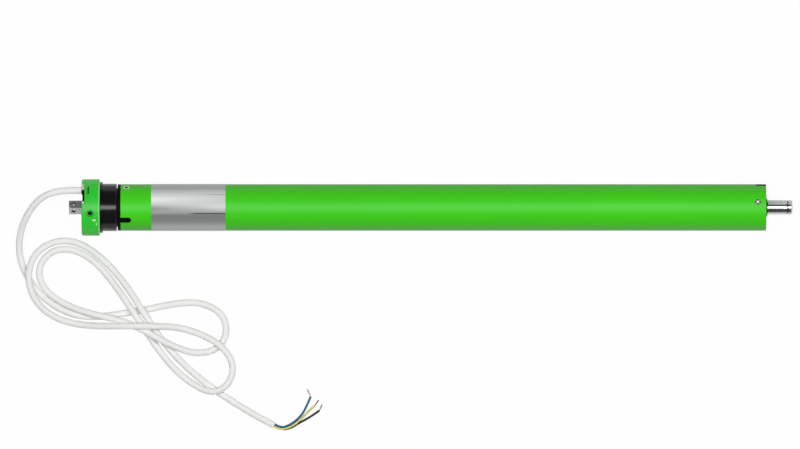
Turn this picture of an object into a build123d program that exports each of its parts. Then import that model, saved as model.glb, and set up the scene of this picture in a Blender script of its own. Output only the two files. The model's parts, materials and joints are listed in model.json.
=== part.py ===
from build123d import *
import math
import os

# Tubular motor of a roller blind, lying on a table with its axis along X.
# A station is a distance along the axis from the head's front face, towards the output.
# An angle round the axis starts at +Y and grows towards the top. Lengths are millimetres.

# Overall stack along the axis
PIN_LENGTH = 12.5
HEAD_LENGTH = 17.4
HEAD_GAP = 0.2
CROWN_FLANGE_LENGTH = 2.6
CROWN_BODY_LENGTH = 13.6
CROWN_END_GAP = 1.0
UNIT_FLANGE_LENGTH = 2.9
TUBE_LENGTH = 624.2
SHAFT_REACH = 25.6

# Diameters seen from outside
HEAD_DIAMETER = 54.6
CROWN_FLANGE_DIAMETER = 49.4
CROWN_DIAMETER = 46.0
NECK_DIAMETER = 37.4
TUBE_DIAMETER = 45.0
TUBE_WALL = 1.2
SHAFT_DIAMETER = 15.0
SHAFT_TIP_DIAMETER = 14.0

# Clearances and the overrun of every cut
SEAT_GAP = 0.1
RUNNING_GAP = 0.05
STATIC_GAP = 0.05
OVERRUN = 1.0

# Head casing
HEAD_CHAMFER = 1.0
HEAD_REAR_ROUND = 0.5
HEAD_WALL = 2.5
HEAD_BACK_WALL = 2.5
NOTCH_DEPTH = 2.9
NOTCH_FIRST = 32.0
NOTCH_LAST = 82.0
GROOVE_STATION = 6.3
GROOVE_WIDTH = 1.0
GROOVE_DEPTH = 0.5
GROOVE_FIRST = 42.5
GROOVE_LAST = 62.1
SPIGOT_DIAMETER = 34.8

# Limit screws, radial in the head
LIMIT_SCREW_STATION = 8.4
LIMIT_SCREW_ANGLES = {"up": 102.0, "down": 282.0}
LIMIT_SCREW_DIAMETER = 4.6
LIMIT_SCREW_RECESS = 1.0
LIMIT_SCREW_LENGTH = 11.0
LIMIT_SOCKET_WIDTH = 3.0
LIMIT_SOCKET_DEPTH = 2.6
LIMIT_BOSS_DIAMETER = 8.4
LIMIT_BOSS_REACH = 14.6

# Face plate, its screws and the drive pin
PLATE_RECESS = 1.8
PLATE_THICKNESS = 2.0
PLATE_SCREW_CIRCLE = 18.5
PLATE_SCREW_ANGLES = (170.0, 235.0, 340.0)
PLATE_SCREW_DIAMETER = 3.0
PLATE_SCREW_HEAD_DIAMETER = 5.6
PLATE_SCREW_HEAD = 1.3
PLATE_SCREW_LENGTH = 9.0
PLATE_BOSS_DIAMETER = 6.4
PIN_WIDTH = 10.0
PIN_ACROSS_CORNERS = 13.2
PIN_CHAMFER = 0.8
PIN_HOLE_DIAMETER = 4.0
PIN_HOLE_FROM_TIP = 4.5
PIN_ROOT_DIAMETER = 15.0
PIN_ROOT_LENGTH = 4.0

# Cable socket with its clip and screw
CABLE_DIAMETER = 6.5
CABLE_ANGLE = 38.6
CABLE_CIRCLE = 21.0
CONNECTOR_FIRST = 24.0
CONNECTOR_LAST = 84.0
CONNECTOR_SIDE_DEGREES = 1.0
CONNECTOR_INNER = 15.6
CONNECTOR_GAP = 0.3
CONNECTOR_START = 0.9
CONNECTOR_LENGTH = 12.5
CONNECTOR_COLLAR = 1.5
CLIP_FIRST = 33.0
CLIP_LAST = 46.5
CLIP_THICKNESS = 1.5
CLIP_START = 0.2
CLIP_LENGTH = 2.4
CLIP_TAB = 0.7
CONNECTOR_SCREW_ANGLE = 78.8
CONNECTOR_SCREW_DIAMETER = 2.2
CONNECTOR_SCREW_HEAD = 1.0
CONNECTOR_SCREW_STATION = 1.5
CONNECTOR_SCREW_LENGTH = 7.5

# Teeth, shared by every gear
PRESSURE_ANGLE = 20.0
GEAR_MODULE = 0.65
BACKLASH = 0.10
ADDENDUM_SHARE = 0.90
DEDENDUM_SHARE = 1.20
TOOTH_SPACE_SHARE = 0.25

# Drive ring with its internal gear, and the counter shaft that it turns
CROWN_MODULE = 0.75
CROWN_TEETH = 52
CROWN_CHAMFER = 0.5
CROWN_GEAR_LENGTH = 7.0
COUNTER_TEETH = 13
COUNTER_ANGLE = 90.0
COUNTER_FRONT_INSET = 1.2
COUNTER_DIAMETER = 4.0
PINION_POCKET_GAP = 0.5
PINION_END_GAP = 0.3
CAM_PINION_TEETH = 12
CAM_GEAR_TEETH = 33

# Limit unit
PLUG_LENGTH = 12.3
PLUG_WEB = 6.0
UNIT_BORE_DIAMETER = 22.0
UNIT_LENGTH = 100.0
TROUGH_WALL = 1.2
UNIT_END_WALL = 2.0
CAM_AXLE_DIAMETER = 4.0
CAM_START_GAP = 4.0
CAM_GEAR_WIDTH = 4.0
CAM_DISC_WIDTH = 3.0
CAM_DISC_RADIUS = 11.7
CAM_NOTCH_DEPTH = 1.2
CAM_NOTCH_HALF_ANGLE = 12.0
CAM_NOTCH_ANGLES = {"upper": 300.0, "lower": 220.0}
CAM_PITCH = 12.0
CAM_SPACER_RADIUS = 4.0
AXLE_BRACKET_WIDTH = 3.0
AXLE_BRACKET_TOP = 5.0
UNIT_WIRE_HOLE_DIAMETER = 5.0
UNIT_WIRE_HOLE_CIRCLE = 7.0

# Microswitches under the cams
SWITCH_LENGTH = 12.2
SWITCH_HEIGHT = 6.0
SWITCH_WIDTH = 5.6
BUTTON_STROKE = 0.5
BUTTON_GAP = 0.1
BUTTON_PROUD = 0.8
BUTTON_DEPTH = 1.6
BUTTON_LENGTH = 3.0
BUTTON_WIDTH = 1.6

# Terminal board
BOARD_START_GAP = 6.0
BOARD_END_GAP = 10.7
BOARD_WIDTH = 33.0
BOARD_THICKNESS = 1.6
BOARD_DROP = 7.0
BOARD_RIB_WIDTH = 2.0
TERMINAL_LENGTH = 12.0
TERMINAL_WIDTH = 24.0
TERMINAL_HEIGHT = 9.0
TERMINAL_HOLE_DIAMETER = 3.0
TERMINAL_POLES = 4

# Screws through the tube at the head end, and the key of the limit unit
UNIT_SCREW_INSET = 5.4
UNIT_SCREW_ANGLES = (30.5, 210.5)
TUBE_SCREW_HEAD_DIAMETER = 5.4
TUBE_SCREW_DIAMETER = 3.0
TUBE_SCREW_CONE = 1.3
TUBE_SCREW_RIM = 0.5
TUBE_SCREW_LENGTH = 8.0
TUBE_SCREW_SUNK = 0.1
RECESS_LENGTH = 3.2
RECESS_WIDTH = 0.8
RECESS_DEPTH = 1.2
KEY_WIDTH = 6.0
KEY_ROOT = 2.0
KEY_GAP = 0.15
HEAD_KEY_LENGTH = 10.3
HEAD_KEY_ANGLE = 123.7

# Capacitor and its cradle
CRADLE_GAP = 2.0
CAPACITOR_DIAMETER = 32.0
CAPACITOR_LENGTH = 84.0
CAPACITOR_ROUND = 2.0
CRADLE_RING_WIDTH = 7.0
CRADLE_BAR_DEGREES = 26.0
CRADLE_BARS = 3
CRADLE_BAR_FIRST = 197.0
TAB_WIDTH = 6.3
TAB_THICKNESS = 0.8
TAB_LENGTH = 6.0
TAB_SPACING = 9.0

# Wires between the board, the capacitor and the motor
WIRE_DIAMETER = 1.8
WIRE_CIRCLE = 18.6
WIRE_ANGLES = (78.0, 90.0, 102.0)
WIRE_PITCH = 5.0
WIRE_BEND_SHARE = 0.3
WIRE_LIFT = 1.0
WIRE_RISE_START = 4.0
WIRE_RISE_END_GAP = 2.7
WIRE_SLOT_FIRST = 70.0
WIRE_SLOT_LAST = 110.0
WIRE_SLOT_INNER = 17.2

# Motor
MOTOR_GAP = 4.0
SHIELD_LENGTH = 12.0
SHIELD_WALL = 3.0
SHIELD_HUB_DIAMETER = 18.0
SHIELD_SKIRT = 2.0
SHIELD_WINDOWS = 6
SHIELD_WINDOW_SPAN = 30.0
SHIELD_WINDOW_INNER = 11.0
SHIELD_WINDOW_OUTER = 16.8
BEARING_DIAMETER = 13.0
BEARING_LENGTH = 9.0
STATOR_BORE_DIAMETER = 22.6
STATOR_SLOTS = 12
SLOT_WIDTH = 3.0
SLOT_MOUTH = 1.2
SLOT_TOOTH_TIP = 0.9
SLOT_OUTER = 17.6
STATOR_FLATS = 4
STATOR_FLAT_DEPTH = 0.8
WINDING_OVERHANG = 17.0
WINDING_INNER = 12.4
WINDING_OUTER = 18.8
WINDING_ROUND = 2.4
WINDING_GAP = 0.15
ROTOR_DIAMETER = 22.0
END_RING_LENGTH = 6.0
END_RING_OUTER = 10.4
END_RING_INNER = 6.5
CORE_SHAFT_DIAMETER = 8.0
ROTOR_SHAFT_DIAMETER = 7.0
SHAFT_TAIL = 2.0

# Brake
BRAKE_LENGTH = 50.0
BRAKE_WALL = 3.0
BRAKE_END_WALL = 4.0
BRAKE_HOLE_DIAMETER = 11.0
BRAKE_RIBS = 3
BRAKE_RIB_WIDTH = 3.0
BRAKE_RIB_DEPTH = 2.2
BRAKE_RIB_GAP = 0.3
BRAKE_HUB_START = 4.0
BRAKE_HUB_LENGTH = 9.0
BRAKE_HUB_DIAMETER = 12.0
BRAKE_DISC_RADIUS = 14.8
BRAKE_DISC_THICKNESS = 3.0
LINING_INNER = 9.5
LINING_THICKNESS = 1.4
LINING_GAP = 0.1
ARMATURE_THICKNESS = 4.0
ARMATURE_BORE = 6.0
ARMATURE_TRAVEL = 0.8
ARMATURE_STOP_GAP = 0.2
MAGNET_LENGTH = 18.0
COIL_INNER = 10.4
COIL_OUTER = 14.4
COIL_RECESS = 0.5
SPRING_THICKNESS = 0.7
SPRING_HEIGHT = 1.9
SPRING_INNER = 7.2
SPRING_OUTER = 9.6
SPRING_GAP = 0.1
SPRING_POCKET_GAP = 0.2

# Planetary gearbox of three like stages
STAGES = 3
PLANETS = 3
SUN_TEETH = 12
PLANET_TEETH = 21
RING_TEETH = 54
STAGE_LENGTH = 26.0
PLANET_INSET = 1.6
PLANET_WIDTH = 15.6
CARRIER_GAP = 0.5
CARRIER_THICKNESS = 5.5
CARRIER_RADIUS = 15.4
PLANET_PIN_DIAMETER = 4.0

# Output
OUTPUT_HOUSING_LENGTH = 87.2
OUTPUT_ROOT_RADIUS = 11.0
OUTPUT_ROOT_LENGTH = 1.8
BUSH_WALL = 1.1
BUSH_PROUD = 1.1
INNER_BUSH_INSET = 2.0
INNER_BUSH_LENGTH = 12.0
OUTER_BUSH_LENGTH = 16.0
OUTPUT_BORE_GAP = 0.6
OUTPUT_POCKETS = 6
POCKET_SPAN = 40.0
POCKET_INNER = 11.5
POCKET_OUTER = 18.5
POCKET_DEPTH = 34.0
OUTPUT_KEY_LENGTH = 10.6
OUTPUT_KEY_ANGLE = 14.0
OUTPUT_SCREW_INSET = 8.2
OUTPUT_SCREW_ANGLES = (76.3, 196.3, 316.3)
SHAFT_FLAT_DEPTH = 1.4
SHAFT_FLAT_ANGLE = 30.0
SHAFT_STEP_GAP = 1.0
SHAFT_GROOVE_INSET = 4.0
SHAFT_GROOVE_WIDTH = 1.1
SHAFT_GROOVE_DEPTH = 0.6
SHAFT_TIP_CHAMFER = 1.2
TUBE_CHAMFER = 0.4

# Label on the tube
LABEL_INSET = 29.6
LABEL_LENGTH = 71.8
LABEL_THICKNESS = 0.12
LABEL_GLUE = 0.06
LABEL_FIRST = -20.0
LABEL_LAST = 200.0

# Cable: a round sheath with three cores that fan out on the table
CORE_DIAMETER = 2.2
STRAND_DIAMETER = 1.3
ARC_SHARE = 0.45

# Centre line of the cable, from the socket to its stripped end
CABLE_ROUTE = [
    (-337.5, 16.41, 40.4),
    (-356.5, 16.41, 40.4),
    (-377.5, 8.5, 35.0),
    (-392.5, -9.0, 22.0),
    (-399.3, -31.0, 9.0),
    (-397.8, -53.0, 3.3),
    (-388.0, -73.0, 3.3),
    (-373.0, -90.0, 3.3),
    (-352.5, -102.7, 3.3),
    (-327.0, -106.8, 3.3),
    (-301.0, -103.2, 3.3),
    (-277.0, -99.3, 3.3),
    (-252.0, -93.8, 3.3),
    (-229.0, -91.3, 3.3),
    (-210.5, -96.8, 3.3),
    (-200.2, -106.6, 3.3),
    (-197.4, -119.8, 3.3),
    (-202.0, -132.3, 3.3),
    (-213.0, -140.0, 3.3),
    (-229.5, -141.4, 3.6),
    (-246.5, -135.9, 8.5),
    (-264.0, -127.0, 13.4),
    (-284.0, -115.6, 13.6),
    (-306.0, -107.8, 11.8),
    (-329.5, -101.3, 10.6),
    (-352.0, -93.7, 4.5),
    (-370.5, -83.3, 3.3),
    (-379.0, -70.7, 3.3),
    (-379.5, -58.0, 3.3),
    (-373.1, -46.8, 3.3),
    (-361.7, -40.4, 3.3),
    (-346.0, -40.6, 3.3),
    (-329.0, -49.3, 3.3),
    (-313.5, -65.3, 3.3),
    (-300.8, -84.2, 8.5),
    (-289.0, -101.7, 11.2),
    (-278.5, -117.2, 6.5),
    (-266.0, -135.0, 3.3),
    (-250.5, -154.5, 3.3),
    (-232.5, -169.6, 3.6),
    (-213.5, -178.1, 9.8),
    (-199.8, -174.3, 11.2),
    (-191.7, -162.8, 11.2),
    (-192.0, -149.2, 11.2),
    (-201.0, -135.5, 10.8),
    (-218.5, -124.2, 8.5),
    (-242.5, -116.2, 7.5),
    (-267.0, -115.0, 17.8),
    (-288.0, -114.6, 22.0),
    (-311.0, -115.0, 16.0),
    (-335.0, -114.5, 6.5),
    (-359.0, -109.6, 3.3),
    (-378.0, -97.5, 5.0),
    (-388.8, -79.6, 10.2),
    (-390.0, -60.5, 10.8),
    (-382.8, -43.6, 6.0),
    (-367.5, -33.5, 3.3),
    (-348.5, -31.6, 3.3),
    (-329.5, -40.1, 3.3),
    (-311.5, -56.0, 3.3),
    (-296.5, -73.5, 6.0),
    (-285.0, -91.0, 10.9),
    (-274.7, -107.0, 9.4),
    (-264.3, -123.5, 4.6),
    (-251.0, -140.2, 3.3),
    (-232.5, -157.5, 3.3),
    (-210.5, -174.0, 3.3),
    (-187.0, -188.6, 3.3),
    (-166.0, -201.5, 3.3),
    (-151.7, -211.1, 3.3),
]

# Routes of the cores: each leaves the cable's end, then lies on the table
CORE_ROUTES = {
    "core_blue": [
        (-151.03, -210.1, 3.9),
        (-145.22, -214.0, 4.2),
        (-137.0, -211.2, 2.4),
        (-128.6, -205.6, 1.2),
        (-121.6, -196.4, 1.2),
        (-117.0, -184.2, 1.2),
    ],
    "core_green_yellow": [
        (-152.37, -212.1, 3.9),
        (-146.56, -216.0, 3.9),
        (-138.0, -215.3, 3.9),
        (-129.2, -209.3, 2.9),
        (-121.0, -199.8, 1.3),
        (-111.9, -191.6, 1.4),
    ],
    "core_brown": [
        (-151.7, -211.1, 1.95),
        (-145.89, -215.0, 1.75),
        (-137.3, -215.0, 1.2),
        (-127.5, -209.9, 1.2),
        (-117.0, -203.4, 1.2),
        (-107.7, -196.8, 1.2),
    ],
}
STRAND_ENDS = {
    "core_blue": (-120.0, -177.0, 1.5),
    "core_green_yellow": (-108.5, -186.4, 2.6),
    "core_brown": (-105.3, -190.6, 2.3),
}

# Stations that the lengths above add up to
CROWN_START = HEAD_LENGTH + HEAD_GAP
CROWN_STEP = CROWN_START + CROWN_FLANGE_LENGTH
CROWN_END = CROWN_STEP + CROWN_BODY_LENGTH
FLANGE_START = CROWN_END + CROWN_END_GAP
TUBE_START = FLANGE_START + UNIT_FLANGE_LENGTH
TUBE_END = TUBE_START + TUBE_LENGTH
SHAFT_END = TUBE_END + SHAFT_REACH
FACE_X = PIN_LENGTH - (PIN_LENGTH + SHAFT_END) / 2
AXIS_HEIGHT = HEAD_DIAMETER / 2

HEAD_RADIUS = HEAD_DIAMETER / 2
HEAD_INNER = HEAD_RADIUS - HEAD_WALL
HEAD_FLOOR = HEAD_LENGTH - HEAD_BACK_WALL
SPIGOT_RADIUS = SPIGOT_DIAMETER / 2
NECK_RADIUS = NECK_DIAMETER / 2
TUBE_RADIUS = TUBE_DIAMETER / 2
TUBE_INNER = TUBE_RADIUS - TUBE_WALL
INNER_RADIUS = TUBE_INNER - SEAT_GAP
PLATE_BACK = PLATE_RECESS + PLATE_THICKNESS

PLUG_END = TUBE_START + PLUG_LENGTH
WEB_START = PLUG_END - PLUG_WEB
UNIT_END = TUBE_START + UNIT_LENGTH
TROUGH_INNER = INNER_RADIUS - TROUGH_WALL
CAM_STATIONS = {
    "upper": PLUG_END + CAM_START_GAP,
    "lower": PLUG_END + CAM_START_GAP + CAM_PITCH,
}
CAM_LENGTH = CAM_GEAR_WIDTH + CAM_DISC_WIDTH
CAMS_END = CAM_STATIONS["lower"] + CAM_LENGTH
BRACKET_START = CAM_STATIONS["lower"] + CAM_PITCH
BOARD_START = BRACKET_START + AXLE_BRACKET_WIDTH + BOARD_START_GAP
BOARD_LENGTH = UNIT_END - UNIT_END_WALL - BOARD_END_GAP - BOARD_START
BOARD_TOP = BOARD_THICKNESS - BOARD_DROP
SWITCH_TOP = -(CAM_DISC_RADIUS + BUTTON_GAP + BUTTON_PROUD)

CRADLE_START = UNIT_END + CRADLE_GAP
CAPACITOR_START = CRADLE_START + CRADLE_RING_WIDTH / 2
CRADLE_END = CAPACITOR_START + CAPACITOR_LENGTH + CRADLE_RING_WIDTH / 2
MOTOR_START = CRADLE_END + MOTOR_GAP
STATOR_START = MOTOR_START + SHIELD_LENGTH + WINDING_OVERHANG + SHIELD_SKIRT
HOUSING_START = TUBE_END - OUTPUT_HOUSING_LENGTH
BRAKE_END = HOUSING_START - STAGE_LENGTH * STAGES
MOTOR_END = BRAKE_END - BRAKE_LENGTH
FRONT_SHIELD_START = MOTOR_END - SHIELD_LENGTH
STATOR_END = FRONT_SHIELD_START - SHIELD_SKIRT - WINDING_OVERHANG
DISC_START = MOTOR_END + BRAKE_HUB_START + BRAKE_HUB_LENGTH - BRAKE_DISC_THICKNESS
LINING_END = DISC_START + BRAKE_DISC_THICKNESS + LINING_THICKNESS
ARMATURE_START = LINING_END + LINING_GAP
ARMATURE_END = ARMATURE_START + ARMATURE_THICKNESS
MAGNET_START = ARMATURE_END + ARMATURE_TRAVEL + ARMATURE_STOP_GAP
STAGE_STARTS = [BRAKE_END + STAGE_LENGTH * n for n in range(STAGES)]

SUN_RADIUS = GEAR_MODULE * SUN_TEETH / 2
PLANET_RADIUS = GEAR_MODULE * PLANET_TEETH / 2
PLANET_CIRCLE = SUN_RADIUS + PLANET_RADIUS
CROWN_PITCH = CROWN_MODULE * CROWN_TEETH / 2
COUNTER_PITCH = CROWN_MODULE * COUNTER_TEETH / 2
COUNTER_CIRCLE = CROWN_PITCH - COUNTER_PITCH
CAM_MODULE = 2 * COUNTER_CIRCLE / (CAM_PINION_TEETH + CAM_GEAR_TEETH)
COUNTER_START = HEAD_FLOOR + COUNTER_FRONT_INSET
CROWN_GEAR_START = CROWN_START + CROWN_CHAMFER
SHAFT_RADIUS = SHAFT_DIAMETER / 2
TIP_RADIUS = SHAFT_TIP_DIAMETER / 2
FULL_TURN = 360.0
RIGHT_ANGLE = 90.0


def across(station, turn=0.0):
    """The plane square to the axis at a station, with its x towards the angle turn."""
    side = (0, math.cos(math.radians(turn)), math.sin(math.radians(turn)))
    return Plane(origin=(FACE_X + station, 0, AXIS_HEIGHT), x_dir=side, z_dir=(1, 0, 0))


def radial(station, angle, reach):
    """The plane that faces away from the axis at an angle, as far out as reach."""
    out = (math.cos(math.radians(angle)), math.sin(math.radians(angle)))
    centre = (FACE_X + station, reach * out[0], AXIS_HEIGHT + reach * out[1])
    return Plane(origin=centre, x_dir=(1, 0, 0), z_dir=(0, out[0], out[1]))


def post(plane, length, radius):
    """A round bar that stands on a plane."""
    return plane * Cylinder(radius, length, align=(Align.CENTER, Align.CENTER, Align.MIN))


def drum(start, end, radius):
    """A round bar along the axis."""
    return post(across(start), end - start, radius)


def sleeve(start, end, outer, inner):
    """A tube along the axis."""
    return drum(start, end, outer) - drum(start - OVERRUN, end + OVERRUN, inner)


def off_axis(start, end, radius, reach, angle):
    """A round bar beside the axis and parallel to it."""
    return post(across(start, angle) * Pos(reach, 0, 0), end - start, radius)


def slab(plane, length, width, height):
    """A block that stands on a plane, centred on it."""
    return plane * Box(length, width, height, align=(Align.CENTER, Align.CENTER, Align.MIN))


def turned(profile):
    """A body of revolution from points given as station and radius."""
    half = Plane(origin=(FACE_X, 0, AXIS_HEIGHT), x_dir=(1, 0, 0), z_dir=(0, -1, 0))
    face = make_face(half * Polyline(*profile, close=True))
    return revolve(face, Axis((FACE_X, 0, AXIS_HEIGHT), (1, 0, 0)), FULL_TURN)


def sector(start, end, inner, outer, first, last):
    """A part of a tube along the axis, between two angles."""
    far = CenterArc((0, 0), outer, first, last - first)
    near = CenterArc((0, 0), inner, first, last - first)
    outline = [far, Line(far @ 1, near @ 1), near, Line(near @ 0, far @ 0)]
    face = across(start) * make_face(outline)
    return extrude(face, end - start, dir=(1, 0, 0))


def prism(start, end, outline, reach=0.0, angle=0.0):
    """An outline drawn square to the axis, carried from one station to another."""
    centre = across(0) * Pos(
        reach * math.cos(math.radians(angle)), reach * math.sin(math.radians(angle)), start
    )
    face = centre * make_face(Polyline(*outline, close=True))
    return extrude(face, end - start, dir=(1, 0, 0))


def involute(angle):
    return math.tan(angle) - angle


def half_tooth(radius, pitch_radius, half_width):
    """Half the angle that an involute tooth takes at a radius."""
    pressure = math.radians(PRESSURE_ANGLE)
    base = pitch_radius * math.cos(pressure)
    local = math.acos(min(1.0, base / radius))
    return half_width / pitch_radius + involute(pressure) - involute(local)


def gear_outline(teeth, module, first_angle, internal=False):
    """A gear's outline. An internal gear's is the hole, whose gaps have a tooth's shape."""
    pitch_radius = module * teeth / 2
    addendum = module * ADDENDUM_SHARE
    dedendum = module * DEDENDUM_SHARE
    inner = pitch_radius - (addendum if internal else dedendum)
    outer = pitch_radius + (dedendum if internal else addendum)
    slack = BACKLASH / 2 if internal else -BACKLASH / 2
    half_width = math.pi * module * TOOTH_SPACE_SHARE + slack
    low = half_tooth(inner, pitch_radius, half_width)
    high = half_tooth(outer, pitch_radius, half_width)
    points = []
    for n in range(teeth):
        middle = math.radians(first_angle) + 2 * math.pi * n / teeth
        for radius, angle in ((inner, -low), (outer, -high), (outer, high), (inner, low)):
            points.append((radius * math.cos(middle + angle), radius * math.sin(middle + angle)))
    return points


def tube_along(route, radius):
    """A round tube along straight runs joined by tangent arcs, with its length and arc radii."""
    points = [Vector(*p) for p in route]
    radii = []
    for before, here, after in zip(points, points[1:], points[2:]):
        turn = (here - before).get_angle(after - here)
        shorter = min((here - before).length, (after - here).length)
        radii.append(ARC_SHARE * shorter / math.tan(math.radians(turn) / 2))
    path = FilletPolyline(*points, radius=radii)
    section = Plane(origin=path @ 0, z_dir=path % 0) * Circle(radius)
    return sweep(section, path=path), path.length, radii


def cross_recess(plane):
    """The cross recess of a screw, cut down from a plane."""
    bar = Box(RECESS_LENGTH, RECESS_WIDTH, 2 * RECESS_DEPTH)
    return plane * (Rot(0, 0, RIGHT_ANGLE / 2) * (bar + Rot(0, 0, RIGHT_ANGLE) * bar))


def tube_screw(station, angle):
    """A countersunk screw through the tube's wall."""
    top = TUBE_RADIUS - TUBE_SCREW_SUNK
    head, shank = TUBE_SCREW_HEAD_DIAMETER / 2, TUBE_SCREW_DIAMETER / 2
    bottom = top - TUBE_SCREW_LENGTH
    rim = top - TUBE_SCREW_RIM
    seat = rim - TUBE_SCREW_CONE
    cone = radial(station, angle, seat) * Cone(
        shank, head, TUBE_SCREW_CONE, align=(Align.CENTER, Align.CENTER, Align.MIN)
    )
    screw = post(radial(station, angle, bottom), seat - bottom, shank) + cone
    screw += post(radial(station, angle, rim), TUBE_SCREW_RIM, head)
    return screw - cross_recess(radial(station, angle, top))


def tube_screw_hole(station, angle):
    """The countersunk hole that a tube screw sits in, with its clearance."""
    top = TUBE_RADIUS - TUBE_SCREW_SUNK
    head = TUBE_SCREW_HEAD_DIAMETER / 2 + STATIC_GAP
    shank = TUBE_SCREW_DIAMETER / 2 + STATIC_GAP
    bottom = top - TUBE_SCREW_LENGTH - STATIC_GAP
    rim = top - TUBE_SCREW_RIM
    seat = rim - TUBE_SCREW_CONE
    cone = radial(station, angle, seat) * Cone(
        shank, head, TUBE_SCREW_CONE, align=(Align.CENTER, Align.CENTER, Align.MIN)
    )
    hole = post(radial(station, angle, bottom), seat - bottom, shank) + cone
    return hole + post(radial(station, angle, rim), TUBE_SCREW_RIM + OVERRUN, head)


def tube_key(start, end, angle, square_end):
    """A key that fills a slot of the tube; it is round at one end."""
    half = KEY_WIDTH / 2 - KEY_GAP
    root = INNER_RADIUS - KEY_ROOT
    height = TUBE_RADIUS - root
    middle = start + half if square_end == "far" else end - half
    straight = (middle, end) if square_end == "far" else (start, middle)
    centre = (straight[0] + straight[1]) / 2
    key = slab(radial(centre, angle, root), straight[1] - straight[0], 2 * half, height)
    key += post(radial(middle, angle, root), height, half)
    return key & drum(start - OVERRUN, end + OVERRUN, TUBE_RADIUS)


# Head


def make_head_casing():
    profile = [
        (0, HEAD_INNER),
        (0, HEAD_RADIUS - HEAD_CHAMFER),
        (HEAD_CHAMFER, HEAD_RADIUS),
        (HEAD_LENGTH - HEAD_REAR_ROUND, HEAD_RADIUS),
        (HEAD_LENGTH, HEAD_RADIUS - HEAD_REAR_ROUND),
        (HEAD_LENGTH, SPIGOT_RADIUS + STATIC_GAP),
        (HEAD_FLOOR, SPIGOT_RADIUS + STATIC_GAP),
        (HEAD_FLOOR, HEAD_INNER),
    ]
    casing = turned(profile)
    for angle in LIMIT_SCREW_ANGLES.values():
        boss = radial(LIMIT_SCREW_STATION, angle, LIMIT_BOSS_REACH)
        boss_length = HEAD_INNER + HEAD_WALL / 2 - LIMIT_BOSS_REACH
        casing += post(boss, boss_length, LIMIT_BOSS_DIAMETER / 2)
    for angle in PLATE_SCREW_ANGLES:
        casing += off_axis(
            PLATE_BACK, HEAD_FLOOR, PLATE_BOSS_DIAMETER / 2, PLATE_SCREW_CIRCLE, angle
        )
        rib = slab(
            radial((PLATE_BACK + HEAD_FLOOR) / 2, angle, PLATE_SCREW_CIRCLE),
            HEAD_FLOOR - PLATE_BACK,
            HEAD_WALL,
            HEAD_INNER + HEAD_WALL / 2 - PLATE_SCREW_CIRCLE,
        )
        casing += rib
        floor_pad = off_axis(
            HEAD_FLOOR, HEAD_LENGTH, PLATE_BOSS_DIAMETER / 2, PLATE_SCREW_CIRCLE, angle
        )
        casing += floor_pad - drum(0, HEAD_LENGTH + OVERRUN, SPIGOT_RADIUS + STATIC_GAP)
    for angle in LIMIT_SCREW_ANGLES.values():
        reach = LIMIT_BOSS_REACH - OVERRUN
        casing -= post(
            radial(LIMIT_SCREW_STATION, angle, reach),
            HEAD_RADIUS + OVERRUN - reach,
            LIMIT_SCREW_DIAMETER / 2 + RUNNING_GAP,
        )
    for angle in PLATE_SCREW_ANGLES:
        screw_end = PLATE_RECESS + PLATE_SCREW_LENGTH
        casing -= off_axis(
            PLATE_RECESS,
            screw_end + STATIC_GAP,
            PLATE_SCREW_DIAMETER / 2 + STATIC_GAP,
            PLATE_SCREW_CIRCLE,
            angle,
        )
    casing -= sector(
        -OVERRUN,
        NOTCH_DEPTH,
        HEAD_INNER - OVERRUN,
        HEAD_RADIUS + OVERRUN,
        NOTCH_FIRST,
        NOTCH_LAST,
    )
    casing -= sector(
        GROOVE_STATION,
        GROOVE_STATION + GROOVE_WIDTH,
        HEAD_RADIUS - GROOVE_DEPTH,
        HEAD_RADIUS + OVERRUN,
        GROOVE_FIRST,
        GROOVE_LAST,
    )
    return casing


def make_face_plate():
    plate = drum(PLATE_RECESS, PLATE_BACK, HEAD_INNER - STATIC_GAP)
    plate -= sector(
        PLATE_RECESS - OVERRUN,
        PLATE_BACK + OVERRUN,
        CONNECTOR_INNER - CONNECTOR_GAP,
        HEAD_RADIUS,
        CONNECTOR_FIRST - CONNECTOR_SIDE_DEGREES,
        CONNECTOR_LAST + CONNECTOR_SIDE_DEGREES,
    )
    plate -= drum(PLATE_RECESS - OVERRUN, PLATE_BACK + OVERRUN, PIN_WIDTH / 2)
    for angle in PLATE_SCREW_ANGLES:
        hole = PLATE_SCREW_DIAMETER / 2 + STATIC_GAP
        plate -= off_axis(
            PLATE_RECESS - OVERRUN, PLATE_BACK + OVERRUN, hole, PLATE_SCREW_CIRCLE, angle
        )
    return plate


def make_drive_pin():
    """The square pin, riveted through the face plate with a flange behind it."""
    square = across(-PIN_LENGTH, RIGHT_ANGLE / 2) * Rectangle(PIN_WIDTH, PIN_WIDTH)
    corner = PIN_ACROSS_CORNERS / 2
    pin = extrude(square, PIN_LENGTH + PLATE_RECESS, dir=(1, 0, 0))
    pin &= turned([
        (-PIN_LENGTH, 0),
        (-PIN_LENGTH, corner - PIN_CHAMFER),
        (PIN_CHAMFER - PIN_LENGTH, corner),
        (PLATE_RECESS, corner),
        (PLATE_RECESS, 0),
    ])
    pin += drum(PLATE_RECESS - OVERRUN, PLATE_BACK, PIN_WIDTH / 2 - STATIC_GAP)
    pin += drum(PLATE_BACK, PLATE_BACK + PIN_ROOT_LENGTH, PIN_ROOT_DIAMETER / 2)
    hole_station = PIN_HOLE_FROM_TIP - PIN_LENGTH
    for angle in (RIGHT_ANGLE / 2, RIGHT_ANGLE * 3 / 2):
        hole = radial(hole_station, angle, -PIN_WIDTH)
        pin -= post(hole, 2 * PIN_WIDTH, PIN_HOLE_DIAMETER / 2)
    return pin


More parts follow.
